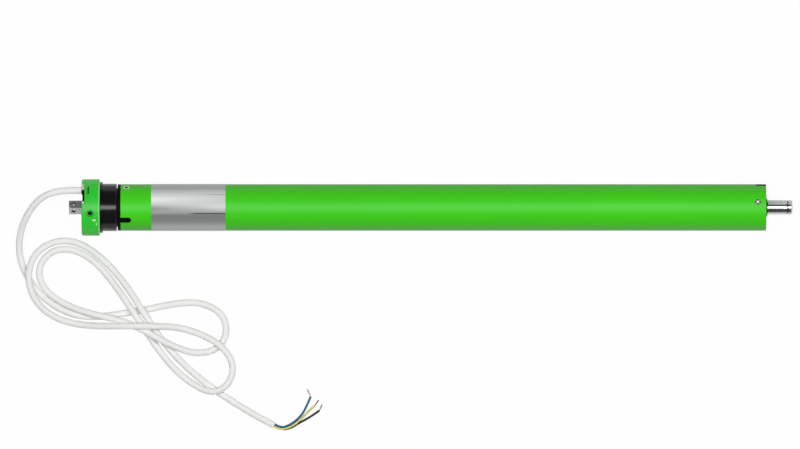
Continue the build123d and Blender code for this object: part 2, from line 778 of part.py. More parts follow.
def make_plate_screws():
    screws = []
    for angle in PLATE_SCREW_ANGLES:
        head_start = PLATE_RECESS - PLATE_SCREW_HEAD
        head = off_axis(
            head_start,
            PLATE_RECESS,
            PLATE_SCREW_HEAD_DIAMETER / 2,
            PLATE_SCREW_CIRCLE,
            angle,
        )
        shank = off_axis(
            PLATE_RECESS,
            PLATE_RECESS + PLATE_SCREW_LENGTH,
            PLATE_SCREW_DIAMETER / 2,
            PLATE_SCREW_CIRCLE,
            angle,
        )
        recess = Box(RECESS_LENGTH, RECESS_WIDTH, PLATE_SCREW_HEAD)
        top = across(head_start, angle) * Pos(PLATE_SCREW_CIRCLE, 0, 0)
        screws.append(head + shank - top * (recess + Rot(0, 0, RIGHT_ANGLE) * recess))
    return Compound(screws)


def make_limit_screw(angle):
    top = HEAD_RADIUS - LIMIT_SCREW_RECESS
    bottom = top - LIMIT_SCREW_LENGTH
    screw = post(
        radial(LIMIT_SCREW_STATION, angle, bottom), LIMIT_SCREW_LENGTH, LIMIT_SCREW_DIAMETER / 2
    )
    socket = RegularPolygon(LIMIT_SOCKET_WIDTH / 2, 6, major_radius=False)
    mouth = radial(LIMIT_SCREW_STATION, angle, top - LIMIT_SOCKET_DEPTH) * socket
    return screw - extrude(mouth, LIMIT_SOCKET_DEPTH + OVERRUN)


def make_connector():
    """The black socket, with the collar that the cable enters."""
    end = CONNECTOR_START + CONNECTOR_LENGTH
    block = sector(
        CONNECTOR_START,
        end,
        CONNECTOR_INNER,
        HEAD_INNER - CONNECTOR_GAP,
        CONNECTOR_FIRST,
        CONNECTOR_LAST,
    )
    collar = off_axis(
        0,
        CONNECTOR_START + OVERRUN,
        CABLE_DIAMETER / 2 + CONNECTOR_COLLAR / 2,
        CABLE_CIRCLE,
        CABLE_ANGLE,
    )
    block += collar & drum(-OVERRUN, end, HEAD_INNER - CONNECTOR_GAP)
    shank_bottom = HEAD_INNER - CONNECTOR_SCREW_LENGTH - STATIC_GAP
    return block - post(
        radial(CONNECTOR_SCREW_STATION, CONNECTOR_SCREW_ANGLE, shank_bottom),
        CONNECTOR_SCREW_LENGTH + OVERRUN,
        CONNECTOR_SCREW_DIAMETER / 3 + STATIC_GAP,
    )


def make_clip():
    """The pale spring clip that lies over the socket in the rim's notch."""
    inner = HEAD_INNER - CONNECTOR_GAP + STATIC_GAP
    clip = sector(
        CLIP_START,
        CLIP_START + CLIP_LENGTH,
        inner,
        inner + CLIP_THICKNESS,
        CLIP_FIRST,
        CLIP_LAST,
    )
    tab_last = CLIP_FIRST + (CLIP_LAST - CLIP_FIRST) / 3
    clip += sector(
        CLIP_START,
        CLIP_START + CLIP_LENGTH,
        inner,
        inner + CLIP_THICKNESS + CLIP_TAB,
        CLIP_FIRST,
        tab_last,
    )
    return clip


def make_connector_screw():
    """The small screw that holds the socket, seen in the rim's notch."""
    angle, station = CONNECTOR_SCREW_ANGLE, CONNECTOR_SCREW_STATION
    seat = HEAD_INNER - CONNECTOR_GAP + STATIC_GAP
    bottom = HEAD_INNER - CONNECTOR_SCREW_LENGTH
    head = post(radial(station, angle, seat), CONNECTOR_SCREW_HEAD, CONNECTOR_SCREW_DIAMETER / 2)
    shank = post(radial(station, angle, bottom), seat - bottom, CONNECTOR_SCREW_DIAMETER / 3)
    return head + shank


# Drive ring and limit unit


def make_crown():
    profile = [
        (CROWN_START, NECK_RADIUS + RUNNING_GAP),
        (CROWN_START, CROWN_FLANGE_DIAMETER / 2 - CROWN_CHAMFER),
        (CROWN_START + CROWN_CHAMFER, CROWN_FLANGE_DIAMETER / 2),
        (CROWN_STEP, CROWN_FLANGE_DIAMETER / 2),
        (CROWN_STEP, CROWN_DIAMETER / 2),
        (CROWN_END - CROWN_CHAMFER, CROWN_DIAMETER / 2),
        (CROWN_END, CROWN_DIAMETER / 2 - CROWN_CHAMFER),
        (CROWN_END, NECK_RADIUS + RUNNING_GAP),
    ]
    teeth = gear_outline(CROWN_TEETH, CROWN_MODULE, COUNTER_ANGLE, internal=True)
    gear_end = CROWN_GEAR_START + CROWN_GEAR_LENGTH
    return turned(profile) - prism(CROWN_START - OVERRUN, gear_end, teeth)


def make_counter_shaft():
    """The shaft beside the axis: a pinion in the drive ring, and one pinion for each cam."""
    start, end = COUNTER_START, CAMS_END - CAM_DISC_WIDTH
    shaft = off_axis(start, end, COUNTER_DIAMETER / 2, COUNTER_CIRCLE, COUNTER_ANGLE)
    first = COUNTER_ANGLE
    outline = gear_outline(COUNTER_TEETH, CROWN_MODULE, first)
    pinion_start = CROWN_GEAR_START + PINION_END_GAP
    pinion_end = CROWN_GEAR_START + CROWN_GEAR_LENGTH - PINION_END_GAP
    shaft += prism(pinion_start, pinion_end, outline, COUNTER_CIRCLE, COUNTER_ANGLE)
    facing = COUNTER_ANGLE + FULL_TURN / 2 + FULL_TURN / CAM_PINION_TEETH / 2
    outline = gear_outline(CAM_PINION_TEETH, CAM_MODULE, facing)
    for station in CAM_STATIONS.values():
        shaft += prism(
            station + PINION_END_GAP,
            station + CAM_GEAR_WIDTH - PINION_END_GAP,
            outline,
            COUNTER_CIRCLE,
            COUNTER_ANGLE,
        )
    return shaft


def make_cam(which):
    """A cam wheel: a gear, and a disc whose notch lets the switch's button out."""
    start = CAM_STATIONS[which]
    disc_start = start + CAM_GEAR_WIDTH
    outline = gear_outline(CAM_GEAR_TEETH, CAM_MODULE, COUNTER_ANGLE)
    cam = prism(start, disc_start, outline)
    cam += drum(disc_start, disc_start + CAM_DISC_WIDTH, CAM_DISC_RADIUS)
    cam += drum(disc_start, start + CAM_PITCH - PINION_END_GAP, CAM_SPACER_RADIUS)
    notch_middle = CAM_NOTCH_ANGLES[which]
    cam -= sector(
        disc_start,
        disc_start + CAM_DISC_WIDTH + OVERRUN,
        CAM_DISC_RADIUS - CAM_NOTCH_DEPTH,
        CAM_DISC_RADIUS + OVERRUN,
        notch_middle - CAM_NOTCH_HALF_ANGLE,
        notch_middle + CAM_NOTCH_HALF_ANGLE,
    )
    bore = CAM_AXLE_DIAMETER / 2 + RUNNING_GAP
    return cam - drum(start - OVERRUN, start + CAM_PITCH + OVERRUN, bore)


def make_cam_axle():
    return drum(WEB_START, BRACKET_START + AXLE_BRACKET_WIDTH, CAM_AXLE_DIAMETER / 2)


def switch_station(which):
    return CAM_STATIONS[which] + CAM_GEAR_WIDTH + CAM_DISC_WIDTH / 2


def below(station, height):
    """The level plane at a height over the axis, with its x along the axis."""
    return Plane(origin=(FACE_X + station, 0, AXIS_HEIGHT + height), x_dir=(1, 0, 0))


def make_switches():
    switches = []
    for which in CAM_STATIONS:
        station = switch_station(which)
        body = slab(
            below(station, SWITCH_TOP - SWITCH_HEIGHT), SWITCH_WIDTH, SWITCH_LENGTH, SWITCH_HEIGHT
        )
        pocket_depth = BUTTON_DEPTH + BUTTON_STROKE
        pocket = slab(
            below(station, SWITCH_TOP - pocket_depth),
            BUTTON_WIDTH + 2 * RUNNING_GAP,
            BUTTON_LENGTH + 2 * RUNNING_GAP,
            pocket_depth + OVERRUN,
        )
        switches.append(body - pocket)
    return Compound(switches)


def make_button(which):
    base = below(switch_station(which), SWITCH_TOP - BUTTON_DEPTH + RUNNING_GAP)
    height = BUTTON_DEPTH + BUTTON_PROUD - RUNNING_GAP
    return slab(base, BUTTON_WIDTH, BUTTON_LENGTH, height)


def make_limit_housing():
    """The neck that the drive ring turns on, its flange, the plug and the trough behind it."""
    profile = [
        (HEAD_FLOOR, 0),
        (HEAD_FLOOR, SPIGOT_RADIUS),
        (HEAD_LENGTH, SPIGOT_RADIUS),
        (HEAD_LENGTH, NECK_RADIUS),
        (FLANGE_START, NECK_RADIUS),
        (FLANGE_START, TUBE_RADIUS),
        (TUBE_START, TUBE_RADIUS),
        (TUBE_START, INNER_RADIUS),
        (PLUG_END, INNER_RADIUS),
        (PLUG_END, 0),
    ]
    housing = turned(profile)
    housing -= drum(HEAD_FLOOR - OVERRUN, WEB_START, UNIT_BORE_DIAMETER / 2)
    housing -= drum(WEB_START - OVERRUN, PLUG_END + OVERRUN, CAM_AXLE_DIAMETER / 2 + STATIC_GAP)
    for angle in (0, FULL_TURN / 2):
        housing -= off_axis(
            WEB_START - OVERRUN,
            PLUG_END + OVERRUN,
            UNIT_WIRE_HOLE_DIAMETER / 2,
            UNIT_WIRE_HOLE_CIRCLE,
            angle,
        )
    tunnel = COUNTER_DIAMETER / 2 + RUNNING_GAP
    housing -= off_axis(
        HEAD_FLOOR - OVERRUN, PLUG_END + OVERRUN, tunnel, COUNTER_CIRCLE, COUNTER_ANGLE
    )
    pocket = COUNTER_PITCH + CROWN_MODULE + PINION_POCKET_GAP
    housing -= off_axis(
        CROWN_GEAR_START,
        CROWN_GEAR_START + CROWN_GEAR_LENGTH,
        pocket,
        COUNTER_CIRCLE,
        COUNTER_ANGLE,
    )
    half_turn = FULL_TURN / 2
    housing += sector(PLUG_END, UNIT_END, TROUGH_INNER, INNER_RADIUS, half_turn, FULL_TURN)
    housing += sector(
        UNIT_END - UNIT_END_WALL,
        UNIT_END,
        UNIT_BORE_DIAMETER / 2,
        TROUGH_INNER + STATIC_GAP,
        half_turn,
        FULL_TURN,
    )
    bracket = drum(BRACKET_START, BRACKET_START + AXLE_BRACKET_WIDTH, TROUGH_INNER + STATIC_GAP)
    bracket &= slab(
        below(BRACKET_START + AXLE_BRACKET_WIDTH / 2, -INNER_RADIUS),
        2 * AXLE_BRACKET_WIDTH,
        2 * INNER_RADIUS,
        INNER_RADIUS + AXLE_BRACKET_TOP,
    )
    side_cut = slab(
        below(BRACKET_START + AXLE_BRACKET_WIDTH / 2, 0),
        2 * AXLE_BRACKET_WIDTH,
        2 * INNER_RADIUS,
        INNER_RADIUS,
    )
    post_cut = slab(
        below(BRACKET_START + AXLE_BRACKET_WIDTH / 2, 0),
        2 * AXLE_BRACKET_WIDTH,
        3 * AXLE_BRACKET_TOP,
        INNER_RADIUS,
    )
    bracket -= side_cut - post_cut
    housing += bracket - drum(
        BRACKET_START - OVERRUN,
        BRACKET_START + AXLE_BRACKET_WIDTH + OVERRUN,
        CAM_AXLE_DIAMETER / 2 + STATIC_GAP,
    )
    for which in CAM_STATIONS:
        pad = slab(
            below(switch_station(which), -TROUGH_INNER - STATIC_GAP),
            SWITCH_WIDTH,
            SWITCH_LENGTH,
            TROUGH_INNER + STATIC_GAP + SWITCH_TOP - SWITCH_HEIGHT,
        )
        housing += pad & drum(PLUG_END, UNIT_END, TROUGH_INNER + STATIC_GAP)
    for station in (BOARD_START + BOARD_RIB_WIDTH, BOARD_START + BOARD_LENGTH - BOARD_RIB_WIDTH):
        rib = slab(
            below(station, -INNER_RADIUS),
            BOARD_RIB_WIDTH,
            2 * INNER_RADIUS,
            INNER_RADIUS - BOARD_DROP,
        )
        housing += rib & drum(PLUG_END, UNIT_END, TROUGH_INNER + STATIC_GAP)
    housing += tube_key(TUBE_START, TUBE_START + HEAD_KEY_LENGTH, HEAD_KEY_ANGLE, "near")
    for angle in UNIT_SCREW_ANGLES:
        housing -= tube_screw_hole(TUBE_START + UNIT_SCREW_INSET, angle)
    return housing


def make_unit_screws():
    station = TUBE_START + UNIT_SCREW_INSET
    return Compound([tube_screw(station, angle) for angle in UNIT_SCREW_ANGLES])


def make_terminal_board():
    """The circuit board on the trough's two ribs, with its block of four terminals."""
    middle = BOARD_START + BOARD_LENGTH / 2
    board = slab(below(middle, -BOARD_DROP), BOARD_LENGTH, BOARD_WIDTH, BOARD_THICKNESS)
    block_station = BOARD_START + TERMINAL_LENGTH
    board += slab(below(block_station, BOARD_TOP), TERMINAL_LENGTH, TERMINAL_WIDTH, TERMINAL_HEIGHT)
    pitch = TERMINAL_WIDTH / TERMINAL_POLES
    for n in range(TERMINAL_POLES):
        side = (n - (TERMINAL_POLES - 1) / 2) * pitch
        top = below(block_station, BOARD_TOP + TERMINAL_HEIGHT / 2) * Pos(0, side, 0)
        board -= post(top, TERMINAL_HEIGHT, TERMINAL_HOLE_DIAMETER / 2)
    return board


# Capacitor and wires


def make_capacitor():
    radius, end = CAPACITOR_DIAMETER / 2, CAPACITOR_START + CAPACITOR_LENGTH
    can = turned([
        (CAPACITOR_START, 0),
        (CAPACITOR_START, radius - CAPACITOR_ROUND),
        (CAPACITOR_START + CAPACITOR_ROUND, radius),
        (end - CAPACITOR_ROUND, radius),
        (end, radius - CAPACITOR_ROUND),
        (end, 0),
    ])
    for side in (-TAB_SPACING / 2, TAB_SPACING / 2):
        tab = across(CAPACITOR_START - TAB_LENGTH) * Pos(side, 0, 0)
        can += slab(tab, TAB_THICKNESS, TAB_WIDTH, TAB_LENGTH + OVERRUN)
    return can


def make_cradle():
    """Two rings joined by bars, with a slot in each ring for the wires."""
    inner = CAPACITOR_DIAMETER / 2 + STATIC_GAP
    cradle = sleeve(CRADLE_START, CRADLE_END, INNER_RADIUS, inner)
    bar_pitch = FULL_TURN / CRADLE_BARS
    for n in range(CRADLE_BARS):
        first = CRADLE_BAR_FIRST + n * bar_pitch + CRADLE_BAR_DEGREES
        cradle -= sector(
            CRADLE_START + CRADLE_RING_WIDTH,
            CRADLE_END - CRADLE_RING_WIDTH,
            inner - OVERRUN,
            INNER_RADIUS + OVERRUN,
            first,
            first + bar_pitch - CRADLE_BAR_DEGREES,
        )
    return cradle - sector(
        CRADLE_START - OVERRUN,
        CRADLE_END + OVERRUN,
        WIRE_SLOT_INNER,
        INNER_RADIUS + OVERRUN,
        WIRE_SLOT_FIRST,
        WIRE_SLOT_LAST,
    )


def make_inner_wires():
    """Three wires from the board, over the capacitor, to the motor's rear shield."""
    wires = []
    block_end = BOARD_START + TERMINAL_LENGTH * 3 / 2
    level = BOARD_TOP + WIRE_LIFT + WIRE_DIAMETER
    for n, angle in enumerate(WIRE_ANGLES):
        side = (1 - n) * -WIRE_PITCH
        reach = (
            WIRE_CIRCLE * math.cos(math.radians(angle)),
            WIRE_CIRCLE * math.sin(math.radians(angle)),
        )
        rise = block_end + WIRE_RISE_START
        rise_end = UNIT_END - WIRE_RISE_END_GAP
        points = [
            (block_end, -side, level),
            (rise, -side, level),
            (rise_end, reach[0], reach[1]),
            (MOTOR_START, reach[0], reach[1]),
        ]
        route = [(FACE_X + x, y, AXIS_HEIGHT + z) for x, y, z in points]
        path = FilletPolyline(*route, radius=WIRE_BEND_SHARE * (rise_end - rise))
        section = Plane(origin=path @ 0, z_dir=path % 0) * Circle(WIRE_DIAMETER / 2)
        wires.append(sweep(section, path=path))
    return Compound(wires)


# Tube and label


def make_motor_tube():
    tube = turned([
        (TUBE_START, TUBE_INNER),
        (TUBE_START, TUBE_RADIUS),
        (TUBE_END - TUBE_CHAMFER, TUBE_RADIUS),
        (TUBE_END, TUBE_RADIUS - TUBE_CHAMFER),
        (TUBE_END, TUBE_INNER),
    ])
    half = KEY_WIDTH / 2
    depth = TUBE_WALL + SEAT_GAP + OVERRUN
    head_middle = TUBE_START + HEAD_KEY_LENGTH - half
    output_middle = TUBE_END - OUTPUT_KEY_LENGTH + half
    slots = (
        (TUBE_START - OVERRUN, head_middle, head_middle, HEAD_KEY_ANGLE),
        (output_middle, TUBE_END + OVERRUN, output_middle, OUTPUT_KEY_ANGLE),
    )
    for start, end, round_station, angle in slots:
        base = INNER_RADIUS - SEAT_GAP
        tube -= slab(radial((start + end) / 2, angle, base), end - start, 2 * half, 2 * depth)
        tube -= post(radial(round_station, angle, base), 2 * depth, half)
    for angle in UNIT_SCREW_ANGLES:
        tube -= tube_screw_hole(TUBE_START + UNIT_SCREW_INSET, angle)
    for angle in OUTPUT_SCREW_ANGLES:
        tube -= tube_screw_hole(TUBE_END - OUTPUT_SCREW_INSET, angle)
    return tube


def make_label():
    inner = TUBE_RADIUS + LABEL_GLUE
    start = TUBE_START + LABEL_INSET
    return sector(
        start, start + LABEL_LENGTH, inner, inner + LABEL_THICKNESS, LABEL_FIRST, LABEL_LAST
    )


# Motor


def make_shield(start, hub_side):
    """An end shield: a wall with windows, a rim against the tube and a hub for the bush."""
    end = start + SHIELD_LENGTH
    wall = (start, start + SHIELD_WALL) if hub_side == "far" else (end - SHIELD_WALL, end)
    shield = drum(wall[0], wall[1], INNER_RADIUS)
    shield += sleeve(start, end, INNER_RADIUS, INNER_RADIUS - SHIELD_WALL)
    shield += drum(start, end, SHIELD_HUB_DIAMETER / 2)
    skirt = (end, end + SHIELD_SKIRT) if hub_side == "far" else (start - SHIELD_SKIRT, start)
    shield += sleeve(skirt[0], skirt[1], INNER_RADIUS, INNER_RADIUS - SHIELD_WALL)
    for n in range(SHIELD_WINDOWS):
        middle = COUNTER_ANGLE + n * FULL_TURN / SHIELD_WINDOWS
        shield -= sector(
            wall[0] - OVERRUN,
            wall[1] + OVERRUN,
            SHIELD_WINDOW_INNER,
            SHIELD_WINDOW_OUTER,
            middle - SHIELD_WINDOW_SPAN / 2,
            middle + SHIELD_WINDOW_SPAN / 2,
        )
    bush = bearing_span(start, hub_side)
    shield -= drum(start - OVERRUN, end + OVERRUN, ROTOR_SHAFT_DIAMETER / 2 + SEAT_GAP)
    return shield - drum(bush[0], bush[1] + OVERRUN * (hub_side == "far"), BEARING_DIAMETER / 2)


def bearing_span(start, hub_side):
    if hub_side == "far":
        return start + SHIELD_LENGTH - BEARING_LENGTH, start + SHIELD_LENGTH
    return start, start + BEARING_LENGTH


def make_bearings():
    bore = ROTOR_SHAFT_DIAMETER / 2 + RUNNING_GAP
    outer = BEARING_DIAMETER / 2
    spans = bearing_span(MOTOR_START, "far"), bearing_span(FRONT_SHIELD_START, "near")
    return Compound([sleeve(start, end, outer, bore) for start, end in spans])


def slot_outline(width, inner, outer):
    """A slot of the stator as a rectangle from one radius to another."""
    return [(inner, -width / 2), (outer, -width / 2), (outer, width / 2), (inner, width / 2)]


def turned_by(outline, angle):
    cos, sin = math.cos(math.radians(angle)), math.sin(math.radians(angle))
    return [(x * cos - y * sin, x * sin + y * cos) for x, y in outline]


def make_stator():
    """The laminated core, with twelve slots open to the bore and four flats outside."""
    bore = STATOR_BORE_DIAMETER / 2
    core = sleeve(STATOR_START, STATOR_END, INNER_RADIUS, bore)
    for n in range(STATOR_SLOTS):
        angle = n * FULL_TURN / STATOR_SLOTS
        slot = slot_outline(SLOT_WIDTH, bore + SLOT_TOOTH_TIP, SLOT_OUTER)
        mouth = slot_outline(SLOT_MOUTH, bore - OVERRUN, bore + SLOT_TOOTH_TIP + STATIC_GAP)
        for outline in (slot, mouth):
            core -= prism(STATOR_START - OVERRUN, STATOR_END + OVERRUN, turned_by(outline, angle))
    length = STATOR_END - STATOR_START
    for n in range(STATOR_FLATS):
        angle = RIGHT_ANGLE / 2 + n * FULL_TURN / STATOR_FLATS
        flat = radial((STATOR_START + STATOR_END) / 2, angle, INNER_RADIUS - STATOR_FLAT_DEPTH)
        core -= slab(flat, length + 2 * OVERRUN, 2 * INNER_RADIUS, 2 * STATOR_FLAT_DEPTH)
    return core


def make_windings():
    """The coils: a filled bar in every slot and a rounded bundle of end turns at each end."""
    bore = STATOR_BORE_DIAMETER / 2
    ends = []
    for start, end in (
        (STATOR_START - WINDING_OVERHANG, STATOR_START - WINDING_GAP),
        (STATOR_END + WINDING_GAP, STATOR_END + WINDING_OVERHANG),
    ):
        ends.append(turned([
            (start, WINDING_INNER + WINDING_ROUND),
            (start, WINDING_OUTER - WINDING_ROUND),
            (start + WINDING_ROUND, WINDING_OUTER),
            (end - WINDING_ROUND, WINDING_OUTER),
            (end, WINDING_OUTER - WINDING_ROUND),
            (end, WINDING_INNER + WINDING_ROUND),
            (end - WINDING_ROUND, WINDING_INNER),
            (start + WINDING_ROUND, WINDING_INNER),
        ]))
    windings = ends[0] + ends[1]
    inner, outer = bore + SLOT_TOOTH_TIP + WINDING_GAP, SLOT_OUTER - WINDING_GAP
    for n in range(STATOR_SLOTS):
        outline = slot_outline(SLOT_WIDTH - 2 * WINDING_GAP, inner, outer)
        outline = turned_by(outline, n * FULL_TURN / STATOR_SLOTS)
        windings += prism(STATOR_START - WINDING_ROUND, STATOR_END + WINDING_ROUND, outline)
    return windings


def make_rotor_core():
    """The squirrel cage: laminations with a cast ring at each end."""
    core = turned([
        (STATOR_START - END_RING_LENGTH, END_RING_INNER),
        (STATOR_START - END_RING_LENGTH, END_RING_OUTER),
        (STATOR_START, END_RING_OUTER),
        (STATOR_START, ROTOR_DIAMETER / 2),
        (STATOR_END, ROTOR_DIAMETER / 2),
        (STATOR_END, END_RING_OUTER),
        (STATOR_END + END_RING_LENGTH, END_RING_OUTER),
        (STATOR_END + END_RING_LENGTH, END_RING_INNER),
        (STATOR_END, END_RING_INNER),
        (STATOR_END, CORE_SHAFT_DIAMETER / 2),
        (STATOR_START, CORE_SHAFT_DIAMETER / 2),
        (STATOR_START, END_RING_INNER),
    ])
    return core


def make_rotor_shaft():
    """The stepped shaft, with the first sun pinion cut on its end."""
    sun_start = STAGE_STARTS[0] + PLANET_INSET / 2
    sun_end = STAGE_STARTS[0] + PLANET_INSET + PLANET_WIDTH
    thin, thick = ROTOR_SHAFT_DIAMETER / 2, CORE_SHAFT_DIAMETER / 2
    shaft = turned([
        (MOTOR_START - SHAFT_TAIL, 0),
        (MOTOR_START - SHAFT_TAIL, thin),
        (STATOR_START, thin),
        (STATOR_START, thick),
        (STATOR_END, thick),
        (STATOR_END, thin),
        (sun_start, thin),
        (sun_start, 0),
    ])
    return shaft + prism(sun_start, sun_end, gear_outline(SUN_TEETH, GEAR_MODULE, 0))


# Brake


def rib_notches(start, end, gap):
    """The ribs in the brake housing's bore, grown by a gap to make notches for them."""
    ribs = []
    inner = INNER_RADIUS - BRAKE_WALL - BRAKE_RIB_DEPTH - gap
    for n in range(BRAKE_RIBS):
        angle = RIGHT_ANGLE + n * FULL_TURN / BRAKE_RIBS
        base = radial((start + end) / 2, angle, inner)
        height = INNER_RADIUS - BRAKE_WALL / 2 - inner
        ribs.append(slab(base, end - start, BRAKE_RIB_WIDTH + 2 * gap, height))
    return ribs


def make_brake_housing():
    bore = INNER_RADIUS - BRAKE_WALL
    housing = sleeve(MOTOR_END, BRAKE_END, INNER_RADIUS, bore)
    housing += drum(BRAKE_END - BRAKE_END_WALL, BRAKE_END, bore + STATIC_GAP)
    for rib in rib_notches(ARMATURE_START, BRAKE_END - BRAKE_END_WALL / 2, 0):
        housing += rib
    return housing - drum(MOTOR_END, BRAKE_END + OVERRUN, BRAKE_HOLE_DIAMETER / 2)


def make_brake_disc():
    """The disc on the rotor's shaft, with its bonded friction lining."""
    hub_start = MOTOR_END + BRAKE_HUB_START
    disc = drum(hub_start, hub_start + BRAKE_HUB_LENGTH, BRAKE_HUB_DIAMETER / 2)
    disc += drum(DISC_START, DISC_START + BRAKE_DISC_THICKNESS, BRAKE_DISC_RADIUS)
    disc += sleeve(
        DISC_START + BRAKE_DISC_THICKNESS - STATIC_GAP, LINING_END, BRAKE_DISC_RADIUS, LINING_INNER
    )
    return disc - drum(hub_start - OVERRUN, LINING_END + OVERRUN, ROTOR_SHAFT_DIAMETER / 2)


def make_armature():
    outer = INNER_RADIUS - BRAKE_WALL - BRAKE_RIB_GAP
    armature = sleeve(ARMATURE_START, ARMATURE_END, outer, ARMATURE_BORE)
    for notch in rib_notches(ARMATURE_START - OVERRUN, ARMATURE_END + OVERRUN, BRAKE_RIB_GAP):
        armature -= notch
    return armature


def make_magnet():
    """The brake's magnet: a notched pot with its coil and a pocket for the spring."""
    outer = INNER_RADIUS - BRAKE_WALL - STATIC_GAP
    end = MAGNET_START + MAGNET_LENGTH
    magnet = sleeve(MAGNET_START, end, outer, ARMATURE_BORE)
    for notch in rib_notches(MAGNET_START - OVERRUN, end + OVERRUN, STATIC_GAP):
        magnet -= notch
    magnet -= sleeve(MAGNET_START - OVERRUN, MAGNET_START + COIL_RECESS, COIL_OUTER, COIL_INNER)
    pocket_end = ARMATURE_END + SPRING_GAP + SPRING_HEIGHT
    pocket = SPRING_OUTER + SPRING_POCKET_GAP
    return magnet - drum(MAGNET_START - OVERRUN, pocket_end, pocket)


def make_brake_spring():
    """The conical disc spring that presses the armature on the lining."""
    start = ARMATURE_END + SPRING_GAP
    end = start + SPRING_HEIGHT
    return turned([
        (start, SPRING_INNER),
        (end - SPRING_THICKNESS, SPRING_OUTER),
        (end, SPRING_OUTER),
        (start + SPRING_THICKNESS, SPRING_INNER),
    ])


# Planetary gearbox


def make_ring_gear(stage):
    start = STAGE_STARTS[stage]
    ring = drum(start, start + STAGE_LENGTH, INNER_RADIUS)
    teeth = gear_outline(RING_TEETH, GEAR_MODULE, 0, internal=True)
    return ring - prism(start - OVERRUN, start + STAGE_LENGTH + OVERRUN, teeth)


def planet_angle(index):
    return index * FULL_TURN / PLANETS


def make_planet(stage, index):
    angle = planet_angle(index)
    start = STAGE_STARTS[stage] + PLANET_INSET
    outline = gear_outline(PLANET_TEETH, GEAR_MODULE, angle)
    planet = prism(start, start + PLANET_WIDTH, outline, PLANET_CIRCLE, angle)
    bore = PLANET_PIN_DIAMETER / 2 + RUNNING_GAP
    return planet - off_axis(
        start - OVERRUN, start + PLANET_WIDTH + OVERRUN, bore, PLANET_CIRCLE, angle
    )


def make_carrier(stage):
    """The plate with three pins for the planets, and the next stage's sun pinion."""
    start = STAGE_STARTS[stage]
    plate_start = start + PLANET_INSET + PLANET_WIDTH + CARRIER_GAP
    plate_end = plate_start + CARRIER_THICKNESS
    carrier = drum(plate_start, plate_end, CARRIER_RADIUS)
    for index in range(PLANETS):
        carrier += off_axis(
            start + PLANET_INSET / 2,
            plate_start,
            PLANET_PIN_DIAMETER / 2,
            PLANET_CIRCLE,
            planet_angle(index),
        )
    if stage < STAGES - 1:
        sun_end = STAGE_STARTS[stage + 1] + PLANET_INSET + PLANET_WIDTH
        carrier += prism(plate_end, sun_end, gear_outline(SUN_TEETH, GEAR_MODULE, 0))
    return carrier


# Output


def make_output_housing():
    """The plug at the output end: a bore with two bush seats, and pockets between ribs."""
    seat = SHAFT_RADIUS + RUNNING_GAP + BUSH_WALL
    housing = drum(HOUSING_START, TUBE_END, INNER_RADIUS)
    housing -= drum(HOUSING_START - OVERRUN, TUBE_END + OVERRUN, SHAFT_RADIUS + OUTPUT_BORE_GAP)
    housing -= drum(
        HOUSING_START - OVERRUN,
        HOUSING_START + OUTPUT_ROOT_LENGTH + INNER_BUSH_INSET,
        OUTPUT_ROOT_RADIUS + OUTPUT_BORE_GAP,
    )
    for start, end in bush_spans():
        housing -= drum(start, end + OVERRUN * (end > TUBE_END), seat)
    for n in range(OUTPUT_POCKETS):
        middle = n * FULL_TURN / OUTPUT_POCKETS
        housing -= sector(
            HOUSING_START - OVERRUN,
            HOUSING_START + POCKET_DEPTH,
            POCKET_INNER,
            POCKET_OUTER,
            middle - POCKET_SPAN / 2,
            middle + POCKET_SPAN / 2,
        )
    housing += tube_key(TUBE_END - OUTPUT_KEY_LENGTH, TUBE_END, OUTPUT_KEY_ANGLE, "far")
    for angle in OUTPUT_SCREW_ANGLES:
        housing -= tube_screw_hole(TUBE_END - OUTPUT_SCREW_INSET, angle)
    return housing


def bush_spans():
    inner_start = HOUSING_START + OUTPUT_ROOT_LENGTH + INNER_BUSH_INSET
    outer_end = TUBE_END + BUSH_PROUD
    return (
        (inner_start, inner_start + INNER_BUSH_LENGTH),
        (outer_end - OUTER_BUSH_LENGTH, outer_end),
    )


def make_output_bushes():
    bore = SHAFT_RADIUS + RUNNING_GAP
    return Compound([sleeve(start, end, bore + BUSH_WALL, bore) for start, end in bush_spans()])


def make_output_shaft():
    """The steel shaft: a root disc, the journal, then a thinner end with a flat and a groove."""
    root_start = STAGE_STARTS[-1] + PLANET_INSET + PLANET_WIDTH + CARRIER_GAP + CARRIER_THICKNESS
    root_end = HOUSING_START + OUTPUT_ROOT_LENGTH
    step = TUBE_END + BUSH_PROUD + SHAFT_STEP_GAP
    groove = SHAFT_END - SHAFT_GROOVE_INSET
    groove_radius = TIP_RADIUS - SHAFT_GROOVE_DEPTH
    shaft = turned([
        (root_start, 0),
        (root_start, OUTPUT_ROOT_RADIUS),
        (root_end, OUTPUT_ROOT_RADIUS),
        (root_end, SHAFT_RADIUS),
        (step, SHAFT_RADIUS),
        (step, TIP_RADIUS),
        (groove - SHAFT_GROOVE_WIDTH, TIP_RADIUS),
        (groove - SHAFT_GROOVE_WIDTH, groove_radius),
        (groove, groove_radius),
        (groove, TIP_RADIUS),
        (SHAFT_END - SHAFT_TIP_CHAMFER, TIP_RADIUS),
        (SHAFT_END, TIP_RADIUS - SHAFT_TIP_CHAMFER),
        (SHAFT_END, 0),
    ])
    length = SHAFT_END + OVERRUN - step
    flat = radial(step + length / 2, SHAFT_FLAT_ANGLE, TIP_RADIUS - SHAFT_FLAT_DEPTH)
    return shaft - slab(flat, length, SHAFT_DIAMETER, SHAFT_DIAMETER)


def make_output_screws():
    station = TUBE_END - OUTPUT_SCREW_INSET
    return Compound([tube_screw(station, angle) for angle in OUTPUT_SCREW_ANGLES])


# Cable


